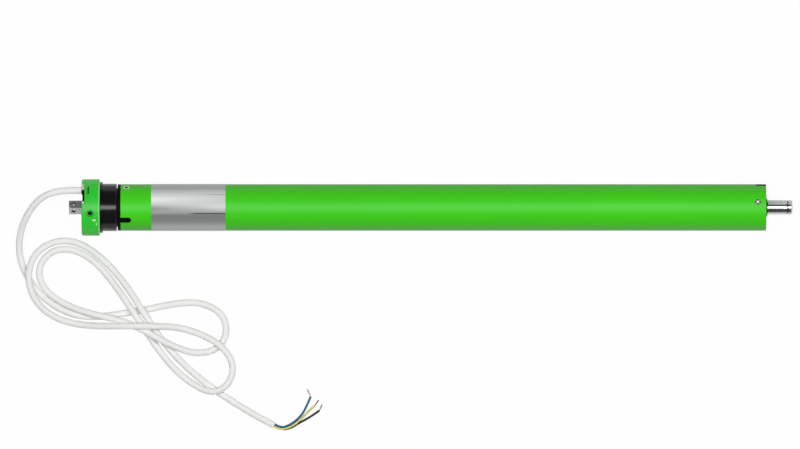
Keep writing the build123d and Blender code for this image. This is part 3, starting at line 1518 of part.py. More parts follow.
def compare(name, solid, radius, length, radii):
    """Prints a swept tube's volume beside its section times its length, and its arc radii."""
    expected = math.pi * radius**2 * length
    print(name, "length", round(length, 1), "volume", round(solid.volume, 1), "of", round(expected, 1))
    print(name, "arc radii", [round(r, 1) for r in radii])


def make_cable():
    cable, length, radii = tube_along(CABLE_ROUTE, CABLE_DIAMETER / 2)
    compare("supply_cable", cable, CABLE_DIAMETER / 2, length, radii)
    return cable


def make_core(name):
    """One core with its insulation, and the bared strand at its end."""
    route = CORE_ROUTES[name]
    core, length, radii = tube_along(route, CORE_DIAMETER / 2)
    compare(name, core, CORE_DIAMETER / 2, length, radii)
    start, end = Vector(*route[-1]), Vector(*STRAND_ENDS[name])
    strand = Plane(origin=start, z_dir=end - start)
    inside = strand * Pos(0, 0, -STRAND_DIAMETER)
    return core + post(inside, (end - start).length + STRAND_DIAMETER, STRAND_DIAMETER / 2)


def main():
    os.makedirs("parts", exist_ok=True)
    parts = {
        "head_casing": make_head_casing(),
        "head_face_plate": make_face_plate(),
        "square_drive_pin": make_drive_pin(),
        "face_plate_screws": make_plate_screws(),
        "limit_screw_up": make_limit_screw(LIMIT_SCREW_ANGLES["up"]),
        "limit_screw_down": make_limit_screw(LIMIT_SCREW_ANGLES["down"]),
        "cable_connector": make_connector(),
        "connector_clip": make_clip(),
        "connector_screw": make_connector_screw(),
        "crown_ring": make_crown(),
        "limit_unit_housing": make_limit_housing(),
        "limit_unit_screws": make_unit_screws(),
        "counter_shaft": make_counter_shaft(),
        "upper_limit_cam": make_cam("upper"),
        "lower_limit_cam": make_cam("lower"),
        "cam_axle": make_cam_axle(),
        "limit_switches": make_switches(),
        "upper_switch_button": make_button("upper"),
        "lower_switch_button": make_button("lower"),
        "terminal_board": make_terminal_board(),
        "capacitor": make_capacitor(),
        "capacitor_cradle": make_cradle(),
        "inner_wires": make_inner_wires(),
        "motor_tube": make_motor_tube(),
        "rating_label": make_label(),
        "motor_rear_shield": make_shield(MOTOR_START, "far"),
        "motor_front_shield": make_shield(FRONT_SHIELD_START, "near"),
        "motor_bearings": make_bearings(),
        "stator_core": make_stator(),
        "stator_windings": make_windings(),
        "rotor_core": make_rotor_core(),
        "rotor_shaft": make_rotor_shaft(),
        "brake_housing": make_brake_housing(),
        "brake_disc": make_brake_disc(),
        "brake_armature": make_armature(),
        "brake_spring": make_brake_spring(),
        "brake_magnet": make_magnet(),
        "output_bearing_housing": make_output_housing(),
        "output_bushes": make_output_bushes(),
        "output_shaft": make_output_shaft(),
        "output_screws": make_output_screws(),
        "supply_cable": make_cable(),
    }
    for stage in range(STAGES):
        parts[f"ring_gear_{stage + 1}"] = make_ring_gear(stage)
        name = "output_carrier" if stage == STAGES - 1 else f"carrier_{stage + 1}"
        parts[name] = make_carrier(stage)
        for index in range(PLANETS):
            parts[f"planet_{stage + 1}_{'abc'[index]}"] = make_planet(stage, index)
    for name in CORE_ROUTES:
        parts[name] = make_core(name)
    for name, shape in parts.items():
        export_step(shape, f"parts/{name}.step")


main()
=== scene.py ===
import bpy
import bmesh
import json
import math
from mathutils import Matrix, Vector


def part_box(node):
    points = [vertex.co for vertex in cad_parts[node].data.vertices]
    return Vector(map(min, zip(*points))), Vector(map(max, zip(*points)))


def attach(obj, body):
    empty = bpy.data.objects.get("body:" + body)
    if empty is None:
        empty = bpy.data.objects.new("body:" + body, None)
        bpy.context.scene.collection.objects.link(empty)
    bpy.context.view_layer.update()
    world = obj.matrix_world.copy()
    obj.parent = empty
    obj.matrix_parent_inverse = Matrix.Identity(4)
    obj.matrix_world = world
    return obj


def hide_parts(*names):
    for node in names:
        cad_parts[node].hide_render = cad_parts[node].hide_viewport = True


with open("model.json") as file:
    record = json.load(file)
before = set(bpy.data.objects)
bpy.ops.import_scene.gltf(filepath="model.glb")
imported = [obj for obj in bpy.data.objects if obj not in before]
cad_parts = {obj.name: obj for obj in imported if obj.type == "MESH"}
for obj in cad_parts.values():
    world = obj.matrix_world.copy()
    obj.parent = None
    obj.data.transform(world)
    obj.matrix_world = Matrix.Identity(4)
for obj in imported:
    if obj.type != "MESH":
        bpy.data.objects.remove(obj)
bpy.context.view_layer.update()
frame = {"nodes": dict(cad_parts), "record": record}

# Tubular roller blind motor, seen from straight above on a white table.
# Everything is in metres. The axis of the tube lies at Y = 0 and Z = AXIS_Z.

MM = 0.001
FULL_TURN = 360.0
DEGREES = 180.0 / math.pi

# Places and sizes from the lowest and highest corners of nodes; the head lies on the table

HEAD_LOW, HEAD_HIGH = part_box("head_casing")
TUBE_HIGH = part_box("motor_tube")[1]
LABEL_LOW, LABEL_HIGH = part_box("rating_label")
SHAFT_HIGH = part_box("output_shaft")[1]

AXIS_Z = HEAD_HIGH[2] / 2
HEAD_RADIUS = HEAD_HIGH[2] - AXIS_Z
TUBE_RADIUS = TUBE_HIGH[2] - AXIS_Z
FACE_X = HEAD_LOW[0]
HEAD_REAR_X = HEAD_HIGH[0]
LABEL_START = LABEL_LOW[0]
LABEL_END = LABEL_HIGH[0]
LABEL_LENGTH = LABEL_END - LABEL_START


def middle(node):
    """The middle of a node's box."""
    low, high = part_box(node)
    return [(a + b) / 2 for a, b in zip(low, high)]


def new_object(name, data):
    """An object of the scene that shows some data."""
    item = bpy.data.objects.new(name, data)
    bpy.context.scene.collection.objects.link(item)
    return item


# Camera: the photograph's width, the size of its pixels, and where its middle lies

PHOTO_WIDTH_PX = 800
PIXEL_M = 0.0009677
SENSOR_WIDTH = 36.0
CAMERA_CENTRE = (-0.0297, -0.0165)
CAMERA_HEIGHT = 14.0
CLIP_START = 0.1
CLIP_END = 60.0


def make_camera():
    """A far camera with a long lens, so that the tube keeps one width from end to end."""
    data = bpy.data.cameras.new("camera")
    data.sensor_width = SENSOR_WIDTH
    data.lens = SENSOR_WIDTH * CAMERA_HEIGHT / (PHOTO_WIDTH_PX * PIXEL_M)
    data.clip_start = CLIP_START
    data.clip_end = CLIP_END
    camera = new_object("camera", data)
    camera.location = (CAMERA_CENTRE[0], CAMERA_CENTRE[1], CAMERA_HEIGHT + AXIS_Z)
    bpy.context.scene.camera = camera


make_camera()


# Tools for materials

SOCKETS = {
    "base": "Base Color",
    "rough": "Roughness",
    "metal": "Metallic",
    "specular": "Specular IOR Level",
    "coat": "Coat Weight",
    "coat_rough": "Coat Roughness",
    "normal": "Normal",
}

# Numbers of the sockets with which a Mix node mixes colours
MIX_FACTOR = 0
MIX_FIRST = 6
MIX_SECOND = 7
MIX_RESULT = 2

# Open share of the surroundings in a full recess and on an open face
RECESS_OPEN = 0.45
FACE_OPEN = 0.92

# Cosine between the real and the rounded surface on a full edge and on a flat face
EDGE_COSINE = 0.86
FLAT_COSINE = 0.995

# Usual radius of an edge painted lighter as a highlight, and the distance over which a recess is painted
# darker as shade
EDGE_RADIUS = 0.3 * MM
RECESS_REACH = 1.2 * MM


class Nodes:
    """Makes and links the nodes of one material, with little text for each."""

    def __init__(self, name):
        self.material = bpy.data.materials.new(name)
        self.material.use_nodes = True
        self.tree = self.material.node_tree
        self.tree.nodes.clear()
        self.output = self.tree.nodes.new("ShaderNodeOutputMaterial")
        self.shader = self.tree.nodes.new("ShaderNodeBsdfPrincipled")
        self.link(self.shader.outputs[0], self.output.inputs["Surface"])

    def add(self, kind, inputs=None, **settings):
        """A node with its settings, and with a value or a link for each input."""
        node = self.tree.nodes.new("ShaderNode" + kind)
        for name, value in settings.items():
            setattr(node, name, value)
        for name, value in (inputs or {}).items():
            self.put(value, node.inputs[name])
        return node

    def put(self, value, socket):
        if isinstance(value, bpy.types.NodeSocket):
            self.link(value, socket)
        else:
            socket.default_value = value

    def link(self, source, target):
        self.tree.links.new(source, target)

    def set(self, **values):
        """Sets or links sockets of the shader, and gives the material."""
        for name, value in values.items():
            self.put(value, self.shader.inputs[SOCKETS[name]])
        return self.material

    def place(self, stretch=(1, 1, 1)):
        where = self.add("TexCoord").outputs["Object"]
        return self.add("Mapping", {"Vector": where, "Scale": stretch}).outputs[0]

    def split(self):
        """The place on the object, as X, Y and Z."""
        return self.add("SeparateXYZ", {"Vector": self.place()}).outputs

    def noise(self, scale, detail=2.0, rough=0.5, stretch=(1, 1, 1)):
        inputs = {"Vector": self.place(stretch), "Scale": scale, "Detail": detail}
        inputs["Roughness"] = rough
        return self.add("TexNoise", inputs).outputs[0]

    def ramp(self, value, low, high, low_at=0.0, high_at=1.0):
        """A colour between two colours."""
        node = self.add("ValToRGB", {"Fac": value})
        first, last = node.color_ramp.elements
        first.position = low_at
        last.position = high_at
        first.color = low + (1,)
        last.color = high + (1,)
        return node.outputs[0]

    def span(self, value, low, high, from_low=0.0, from_high=1.0, smooth=False):
        """A value carried from one range to another."""
        inputs = {"Value": value, "To Min": low, "To Max": high}
        inputs["From Min"] = from_low
        inputs["From Max"] = from_high
        kind = "SMOOTHSTEP" if smooth else "LINEAR"
        return self.add("MapRange", inputs, interpolation_type=kind).outputs[0]

    def maths(self, operation, *values):
        return self.add("Math", dict(enumerate(values)), operation=operation).outputs[0]

    def times(self, first, second):
        return self.maths("MULTIPLY", first, second)

    def apart(self, first, second):
        """How far two values lie apart."""
        return self.maths("ABSOLUTE", self.maths("SUBTRACT", first, second))

    def turn(self, y, z):
        """The angle round the tube's axis in degrees: 0 at the top, 90 at +Y."""
        return self.times(self.maths("ARCTAN2", y, self.maths("SUBTRACT", z, AXIS_Z)), DEGREES)

    def mix(self, factor, first, second, blend="MIX"):
        """Two colours mixed, each a tuple or the output of a node."""
        node = self.add("Mix", data_type="RGBA", blend_type=blend)
        self.put(factor, node.inputs[MIX_FACTOR])
        for colour, socket in ((first, MIX_FIRST), (second, MIX_SECOND)):
            value = colour + (1,) if isinstance(colour, tuple) else colour
            self.put(value, node.inputs[socket])
        return node.outputs[MIX_RESULT]

    def bump(self, height, strength, distance):
        inputs = {"Height": height, "Strength": strength, "Distance": distance}
        return self.add("Bump", inputs).outputs[0]

    def hollow(self, reach=RECESS_REACH):
        """About 1 deep in a recess or slot, 0 on open faces."""
        shade = self.add("AmbientOcclusion", {"Distance": reach}, samples=8, only_local=True)
        return self.span(shade.outputs["AO"], 1.0, 0.0, RECESS_OPEN, FACE_OPEN)

    def facing(self, direction, low, high):
        """From 0 to 1 as the surface turns to a direction of the object."""
        normal = self.add("TexCoord").outputs["Normal"]
        dot = self.add("VectorMath", {0: normal, 1: direction}, operation="DOT_PRODUCT")
        return self.span(dot.outputs["Value"], 0.0, 1.0, low, high)

    def edge(self, radius=EDGE_RADIUS):
        """About 1 on edges and corners, 0 on flat faces."""
        rounded = self.add("Bevel", {"Radius": radius}, samples=4).outputs[0]
        real = self.add("NewGeometry").outputs["Normal"]
        dot = self.add("VectorMath", {0: rounded, 1: real}, operation="DOT_PRODUCT")
        return self.span(dot.outputs["Value"], 1.0, 0.0, EDGE_COSINE, FLAT_COSINE)


def tone(colour, gain, lift=0.0):
    """A colour made darker or lighter."""
    return tuple(min(1.0, c * gain + lift) for c in colour)


def varied(nodes, colour, amount, scale):
    """A colour with slow uneven tint."""
    tint = nodes.noise(scale, detail=3.0)
    dark, light = tone(colour, 1 - amount), tone(colour, 1 + amount)
    return nodes.ramp(tint, dark, light, low_at=0.3, high_at=0.7)


# Materials

# Shares of an enamel's red, green and blue in its painted shade where it turns away
ENAMEL_SHADE_SHARES = (1.15, 0.62, 1.3)

# Engraved groove on top of the head: its middle and half its size, in X and Y, and the painted shade in it
HEAD_GROOVE = (FACE_X + 6.4 * MM, 16.5 * MM)
HEAD_GROOVE_HALF = (0.6 * MM, 3.8 * MM)
HEAD_GROOVE_SHADE = (0.001, 0.10, 0.002)

# Where the painted highlight on the head's rear edge starts and is full, in X, and its colour
HEAD_LIT_START = HEAD_REAR_X - 1.0 * MM
HEAD_LIT_FULL = HEAD_REAR_X - 0.6 * MM
HEAD_LIT = (0.32, 0.95, 0.33)

# Groove round the shaft near its tip, and the direction that its flat faces
SHAFT_GROOVE_X = SHAFT_HIGH[0] - 4.55 * MM
SHAFT_GROOVE_HALF = 0.6 * MM
SHAFT_FLAT_NORMAL = (0.0, 0.866, 0.5)

LAMINATION_PITCH = 1.0 * MM
UP = (0.0, 0.0, 1.0)
BACK = (0.0, 1.0, 0.0)


def enamel(name, colour):
    """Sprayed enamel on steel: a fine orange peel, painted shade where it turns away, and a painted
    highlight on its edges.
    """
    n = Nodes(name)
    peel = n.bump(n.noise(scale=900.0), strength=0.08, distance=0.1 * MM)
    rough = n.span(n.noise(scale=60.0, detail=4.0), low=0.40, high=0.48)
    # Painted highlight on the edges, and painted shade, darker and greyer, where the surface turns away
    # from the eye
    edge = n.times(n.edge(radius=0.4 * MM), 0.5)
    turned_away = n.add("LayerWeight").outputs["Facing"]
    grazing_shade = tuple(c * share for c, share in zip(colour, ENAMEL_SHADE_SHARES))
    base = n.mix(turned_away, varied(n, colour, amount=0.035, scale=9.0), grazing_shade)
    base = n.mix(edge, base, tone(colour, 1.3, 0.01))
    return n.set(base=base, rough=rough, normal=peel, specular=0.26)


def plastic(name, colour, rough, specular=0.5):
    """Moulded plastic with a fine spark-eroded grain, a painted highlight on its edges and painted shade in
    its recesses.
    """
    n = Nodes(name)
    normal = n.bump(n.noise(scale=2200.0), strength=0.25, distance=0.02 * MM)
    # Painted highlight: edges lighter; painted shade: recesses darker
    edge = n.times(n.edge(), 0.4)
    base = n.mix(edge, varied(n, colour, amount=0.05, scale=40.0), tone(colour, 1.35, 0.015))
    base = n.mix(n.times(n.hollow(), 0.8), base, tone(colour, 0.25))
    rough = n.span(n.noise(scale=150.0, detail=4.0), *rough)
    return n.set(base=base, rough=rough, normal=normal, specular=specular)


def head_plastic(name, colour):
    """The head's green plastic: a fine grain, a painted highlight on the rear edge and other edges, and
    painted shade in the groove and recesses.
    """
    n = Nodes(name)
    x, y, z = n.split()
    grain = n.bump(n.noise(scale=1600.0, detail=3.0), strength=0.3, distance=0.03 * MM)
    # Painted highlight: a lit band on the rear edge, and other edges a little lighter
    rear = n.span(x, 0.0, 0.9, HEAD_LIT_START, HEAD_LIT_FULL)
    edge = n.maths("MAXIMUM", n.times(n.edge(radius=0.5 * MM), 0.25), rear)
    base = n.mix(edge, varied(n, colour, amount=0.06, scale=55.0), HEAD_LIT)
    # Painted shade: recesses and the groove darker
    base = n.mix(n.hollow(reach=1.8 * MM), base, tone(colour, 0.10))
    groove = n.maths("GREATER_THAN", z, AXIS_Z)
    for place, centre, half in zip((x, y), HEAD_GROOVE, HEAD_GROOVE_HALF):
        groove = n.times(groove, n.maths("LESS_THAN", n.apart(place, centre), half))
    base = n.mix(groove, base, HEAD_GROOVE_SHADE)
    rough = n.span(n.noise(scale=140.0, detail=4.0), low=0.34, high=0.46)
    return n.set(base=base, rough=rough, normal=grain, specular=0.32)


def ring_plastic(name, colour):
    """The crown's glossy black, with faint marks that run round it and break up the highlight."""
    n = Nodes(name)
    marks = n.noise(scale=700.0, detail=3.0, rough=0.6, stretch=(1.0, 0.05, 0.05))
    normal = n.bump(marks, strength=0.35, distance=0.04 * MM)
    # Painted highlight: edges a little lighter
    edge = n.times(n.edge(), 0.35)
    base = n.mix(edge, varied(n, colour, amount=0.10, scale=60.0), (0.03, 0.03, 0.03))
    rough = n.span(n.noise(scale=220.0, detail=4.0), low=0.16, high=0.23)
    return n.set(base=base, rough=rough, normal=normal, specular=0.28)


def metal(name, colour, rough, grain, stretch=(1, 1, 1), depth=0.03 * MM):
    """Bare or plated metal, with marks of turning or rolling, a painted highlight on its edges, and painted
    shade in its recesses, which dirt makes rougher.
    """
    n = Nodes(name)
    marks = n.noise(grain, detail=4.0, rough=0.6, stretch=stretch)
    # Painted highlight: edges lighter; painted shade: recesses nearly black, and rougher with dirt
    base = n.mix(n.edge(), varied(n, colour, amount=0.10, scale=120.0), tone(colour, 1.25))
    recess_shade_and_dirt = n.hollow()
    base = n.mix(recess_shade_and_dirt, base, tone(colour, 0.03))
    marked = n.span(marks, *rough, from_low=0.3, from_high=0.7)
    rough = n.maths("ADD", marked, n.times(recess_shade_and_dirt, 0.4))
    normal = n.bump(marks, strength=0.35, distance=depth)
    return n.set(base=base, rough=rough, metal=1.0, normal=normal)


def pin_steel(name):
    """Drawn and passivated steel: mottled, with a painted dark reflection on the faces that point up and
    back, and painted shade in its holes.
    """
    n = Nodes(name)
    spangle = n.noise(scale=420.0, detail=5.0, rough=0.65)
    pale = n.ramp(spangle, (0.60, 0.60, 0.59), (0.92, 0.92, 0.90), low_at=0.35, high_at=0.65)
    # Painted reflection of dark surroundings on the faces that point back and up, and painted shade in the
    # holes
    painted_dark_reflection = n.ramp(spangle, (0.11, 0.115, 0.11), (0.44, 0.46, 0.44), low_at=0.35, high_at=0.75)
    base = n.mix(n.facing(BACK, low=0.2, high=0.5), pale, painted_dark_reflection)
    base = n.mix(n.facing(UP, low=0.80, high=0.95), base, (0.05, 0.05, 0.05))
    base = n.mix(n.hollow(reach=3.0 * MM), base, (0.02, 0.02, 0.02))
    rough = n.span(spangle, 0.34, 0.50, from_low=0.3, from_high=0.7)
    normal = n.bump(spangle, strength=0.3, distance=0.05 * MM)
    return n.set(base=base, rough=rough, metal=1.0, normal=normal)


def shaft_steel(name):
    """Turned shaft: rings of the lathe, a duller milled flat, and painted shade in the groove."""
    n = Nodes(name)
    rings = n.noise(scale=900.0, detail=3.0, stretch=(1.0, 0.04, 0.04))
    milled = n.noise(scale=1500.0, detail=3.0, stretch=(0.2, 1.5, 1.5))
    flat = n.facing(SHAFT_FLAT_NORMAL, low=0.985, high=0.995)
    turned = n.ramp(rings, (0.52, 0.53, 0.53), (0.64, 0.65, 0.65), low_at=0.3, high_at=0.7)
    cut = n.ramp(milled, (0.60, 0.635, 0.62), (0.75, 0.79, 0.775), low_at=0.3, high_at=0.7)
    # Painted shade: the groove near the tip nearly black
    groove = n.maths("COMPARE", n.split()[0], SHAFT_GROOVE_X, SHAFT_GROOVE_HALF)
    base = n.mix(n.times(groove, 0.85), n.mix(flat, turned, cut), (0.05, 0.055, 0.055))
    turned_rough = n.span(rings, 0.16, 0.26, from_low=0.3, from_high=0.7)
    cut_rough = n.span(milled, 0.60, 0.72, from_low=0.3, from_high=0.7)
    rough = n.mix(flat, turned_rough, cut_rough)
    normal = n.bump(n.mix(flat, rings, milled), strength=0.25, distance=0.03 * MM)
    return n.set(base=base, rough=rough, metal=1.0, normal=normal)


def laminated(name, colour):
    """A stack of thin sheets along X."""
    n = Nodes(name)
    wave = n.maths("SINE", n.times(n.split()[0], math.tau / LAMINATION_PITCH))
    base = n.ramp(n.span(wave, 0.0, 1.0, from_low=-1.0), tone(colour, 0.55), colour)
    rough = n.span(n.noise(scale=300.0, detail=3.0), low=0.35, high=0.5)
    normal = n.bump(wave, strength=0.3, distance=0.1 * MM)
    return n.set(base=base, rough=rough, metal=0.9, normal=normal)


def copper_windings(name):
    """Enamelled wire, wound in bundles."""
    n = Nodes(name)
    inputs = {"Vector": n.place(), "Scale": 260.0, "Distortion": 6.0, "Detail": 2.0}
    wave = n.add("TexWave", inputs).outputs[0]
    base = n.ramp(wave, (0.22, 0.06, 0.02), (0.72, 0.28, 0.11), low_at=0.2, high_at=0.8)
    normal = n.bump(wave, strength=0.6, distance=0.3 * MM)
    return n.set(base=base, rough=0.3, metal=0.75, coat=0.4, coat_rough=0.2, normal=normal)


def sheath(name, colour):
    """The cable's soft PVC: a dry sheen and a fine grain."""
    n = Nodes(name)
    base = varied(n, colour, amount=0.02, scale=70.0)
    rough = n.span(n.noise(scale=260.0, detail=4.0), low=0.45, high=0.60)
    grain = n.bump(n.noise(scale=1800.0), strength=0.12, distance=0.04 * MM)
    return n.set(base=base, rough=rough, normal=grain, specular=0.25)


def insulation(name, colour, dark):
    """Glossy insulation of one core, with darker patches."""
    n = Nodes(name)
    patch = n.noise(scale=500.0, detail=3.0)
    base = n.mix(n.span(patch, 0.0, 1.0, from_low=0.35, from_high=0.65), dark, colour)
    rough = n.span(n.noise(scale=900.0, detail=3.0), low=0.22, high=0.36)
    normal = n.bump(patch, strength=0.2, distance=0.08 * MM)
    return n.set(base=base, rough=rough, normal=normal, specular=0.3)


def striped_core(name, first, second):
    """Insulation of one colour with a stripe of the other along each side."""
    n = Nodes(name)
    side = n.facing((0.55, -0.80, 0.0), low=0.55, high=0.70)
    other = n.facing((-0.55, 0.80, 0.0), low=0.75, high=0.90)
    base = n.mix(n.maths("MAXIMUM", side, other), first, second)
    rough = n.span(n.noise(scale=900.0, detail=3.0), low=0.25, high=0.4)
    normal = n.bump(n.noise(scale=500.0, detail=3.0), strength=0.2, distance=0.08 * MM)
    return n.set(base=base, rough=rough, normal=normal)


def strand_copper(name):
    """Fine tinned copper wires."""
    n = Nodes(name)
    wave = n.noise(scale=1500.0)
    base = n.ramp(wave, (0.22, 0.19, 0.11), (0.46, 0.42, 0.28), low_at=0.3, high_at=0.7)
    normal = n.bump(wave, strength=0.5, distance=0.1 * MM)
    return n.set(base=base, rough=0.35, metal=1.0, normal=normal)


# Each slot of the record, with its material

MATERIALS = {
    "green_enamel": enamel("tube_enamel", (0.048, 0.600, 0.008)),
    "green_plastic": head_plastic("head_plastic", (0.024, 0.550, 0.030)),
    "zinc_steel": metal("zinc_steel", (0.66, 0.67, 0.66), (0.22, 0.42), grain=500.0, stretch=(1, 6, 6)),
    "screw_zinc": metal("screw_zinc", (0.72, 0.71, 0.68), (0.22, 0.40), grain=900.0),
    # Dark screws: near black, tinted green as painted light from the green head round them
    "dark_screw": metal("dark_screw", (0.030, 0.052, 0.031), (0.30, 0.45), grain=900.0),
    "black_plastic": plastic("black_plastic", (0.004, 0.0045, 0.004), (0.45, 0.60), specular=0.04),
    "black_ring": ring_plastic("black_ring", (0.0055, 0.0056, 0.0055)),
    "pale_clip": plastic("pale_clip", (0.62, 0.62, 0.60), (0.35, 0.5)),
    "white_acetal": plastic("white_acetal", (0.80, 0.80, 0.76), (0.3, 0.42)),
    "blue_acetal": plastic("blue_acetal", (0.04, 0.16, 0.50), (0.3, 0.42)),
    "red_acetal": plastic("red_acetal", (0.55, 0.04, 0.03), (0.3, 0.42)),
    "switch_black": plastic("switch_black", (0.03, 0.03, 0.032), (0.4, 0.55)),
    "board_green": plastic("board_green", (0.01, 0.16, 0.06), (0.3, 0.4)),
    "capacitor_can": plastic("capacitor_can", (0.70, 0.70, 0.67), (0.3, 0.4)),
    "cradle_grey": plastic("cradle_grey", (0.20, 0.21, 0.22), (0.4, 0.55)),
    "wire_blue": plastic("wire_blue", (0.02, 0.14, 0.48), (0.3, 0.4)),
    "cast_shield": metal("cast_shield", (0.52, 0.52, 0.52), (0.45, 0.65), grain=700.0, depth=0.1 * MM),
    "sintered_bush": metal("sintered_bush", (0.60, 0.42, 0.20), (0.4, 0.55), grain=2500.0),
    "lamination": laminated("lamination", (0.34, 0.35, 0.38)),
    "enamel_copper": copper_windings("enamel_copper"),
    "turned_steel": metal("turned_steel", (0.56, 0.57, 0.59), (0.2, 0.35), grain=200.0, stretch=(30, 1, 1)),
    "cast_cage": laminated("cast_cage", (0.50, 0.50, 0.52)),
    "brake_shell": plastic("brake_shell", (0.08, 0.085, 0.09), (0.4, 0.55)),
    "brake_steel": metal("brake_steel", (0.48, 0.48, 0.50), (0.25, 0.4), grain=800.0),
    "magnet_iron": metal("magnet_iron", (0.16, 0.16, 0.17), (0.45, 0.6), grain=900.0),
    "spring_steel": metal("spring_steel", (0.36, 0.37, 0.42), (0.2, 0.3), grain=900.0),
    "ring_gear_nylon": plastic("ring_gear_nylon", (0.74, 0.74, 0.69), (0.35, 0.5)),
    "planet_sinter": metal("planet_sinter", (0.42, 0.42, 0.43), (0.35, 0.5), grain=2500.0),
}
SLOTS = {part["node"]: part["material_slot"] for part in frame["record"]["subparts"]}


def dress(node, material):
    """Gives a CAD node its material."""
    materials = frame["nodes"][node].data.materials
    materials.clear()
    materials.append(material)


# Further down the label gets its foil, and the cable and its cores are drawn anew
for node, slot in SLOTS.items():
    if slot in MATERIALS:
        dress(node, MATERIALS[slot])
dress("square_drive_pin", pin_steel("pin_steel"))
dress("output_shaft", shaft_steel("shaft_steel"))


# Screws of the tube; angles are counted from the top towards +Y

# Radii between which the painted shade of a recess fades, and half widths between which a cross's arm does
SCREW_RECESS_RADII = (1.5 * MM, 2.1 * MM)
SCREW_ARM_HALVES = (0.4 * MM, 0.8 * MM)
SCREW_ARM_REACH = 2.6 * MM
# Painted shade in a recess, and the bright colour of a cross
SCREW_RECESS_SHADE = (0.003, 0.030, 0.002)
SCREW_BRIGHT = (0.86, 0.92, 0.80)


def tube_screws(name, node, one_at, count, disc, centre, crossed):
    """Screws evenly round the tube, one at a given angle: discs with painted shade in the recess, and
    crossed ones with a bright cross.
    """
    n = Nodes(name)
    x, y, z = n.split()
    spacing = FULL_TURN / count
    # Two full turns more keep the angle above zero, where MODULO runs evenly
    angle = n.maths("ADD", n.turn(y, z), 2 * FULL_TURN + spacing / 2 - one_at)
    around = n.maths("SUBTRACT", n.maths("MODULO", angle, spacing), spacing / 2)
    around = n.times(around, TUBE_RADIUS / DEGREES)
    along = n.maths("SUBTRACT", x, middle(node)[0])
    square = n.maths("ADD", n.maths("POWER", around, 2.0), n.maths("POWER", along, 2.0))
    away = n.maths("SQRT", square)
    scratch = n.noise(scale=900.0, detail=4.0)
    base = n.ramp(scratch, tone(disc, 0.8), disc, low_at=0.3, high_at=0.7)
    # A recess takes the centre colour, which is painted shade on screws without a cross
    recess = n.hollow()
    base = n.mix(recess, base, centre)
    if crossed:
        rising = n.apart(around, along)
        falling = n.maths("ABSOLUTE", n.maths("ADD", around, along))
        arms = n.span(n.maths("MINIMUM", rising, falling), 1.0, 0.0, *SCREW_ARM_HALVES)
        inner = n.times(arms, n.maths("LESS_THAN", away, SCREW_ARM_REACH))
    else:
        inner = n.span(away, 1.0, 0.0, *SCREW_RECESS_RADII)
    base = n.mix(inner, base, centre)
    bare = n.maths("SUBTRACT", 1.0, n.times(recess, 0.8))
    rough = n.span(scratch, 0.24, 0.40, from_low=0.3, from_high=0.7)
    normal = n.bump(scratch, strength=0.3, distance=0.03 * MM)
    return n.set(base=base, rough=rough, metal=bare, normal=normal)


shaded_recess_screws = tube_screws(
    "head_end_screw",
    "limit_unit_screws",
    one_at=59.5,
    count=2,
    disc=(0.80, 0.80, 0.72),
    centre=SCREW_RECESS_SHADE,
    crossed=False,
)
crossed_screws = tube_screws(
    "output_end_screw",
    "output_screws",
    one_at=13.7,
    count=3,
    disc=(0.12, 0.14, 0.11),
    centre=SCREW_BRIGHT,
    crossed=True,
)
dress("limit_unit_screws", shaded_recess_screws)
dress("output_screws", crossed_screws)


# Label: silver foil with bare bands and plain rules, and no words

# Grey of the foil by its angle from the top of the tube towards +Y: printed bands, whose grey also holds a
# painted highlight and painted shade
FOIL_BANDS = [
    (-180.0, 0.52), (-80.0, 0.44), (-56.0, 0.48), (-36.0, 0.27), (-20.0, 0.22), (-12.0, 0.37),
    (2.0, 0.52), (20.0, 0.70), (34.0, 0.74), (54.0, 0.38), (84.0, 0.46), (180.0, 0.52),
]
FOIL_TINT = (0.95, 1.0, 0.985)

# A painted highlight and a painted shade that fade away from the head: angle, half width, share and colour
FOIL_PAINTED_LIGHTS = (
    (21.0, 15.0, 0.72, (1.0, 1.0, 1.0)),
    (-2.0, 13.0, 0.64, (0.02, 0.02, 0.02)),
)

# Rules: angle, the shares of the label's length where one starts and is full, and its darkness
FOIL_RULES = ((-15.1, 0.48, 0.60, 0.95), (33.3, 0.45, 1.0, 0.45))
FOIL_RULE_HALF = 1.1
FOIL_RULE_FADE = 1.5 * FOIL_RULE_HALF
FOIL_RULE_COLOUR = (0.03, 0.033, 0.033)


def foil_bands(n, angle):
    """Grey bands round the tube."""
    ramp = n.add("ValToRGB", {"Fac": n.span(angle, 0.0, 1.0, -FULL_TURN / 2, FULL_TURN / 2)})
    points = ramp.color_ramp.elements
    for turn, grey in FOIL_BANDS[1:-1]:
        points.new(turn / FULL_TURN + 0.5)
    for point, (turn, grey) in zip(points, FOIL_BANDS):
        point.position = turn / FULL_TURN + 0.5
        point.color = tone(FOIL_TINT, grey) + (1,)
    return ramp.outputs[0]


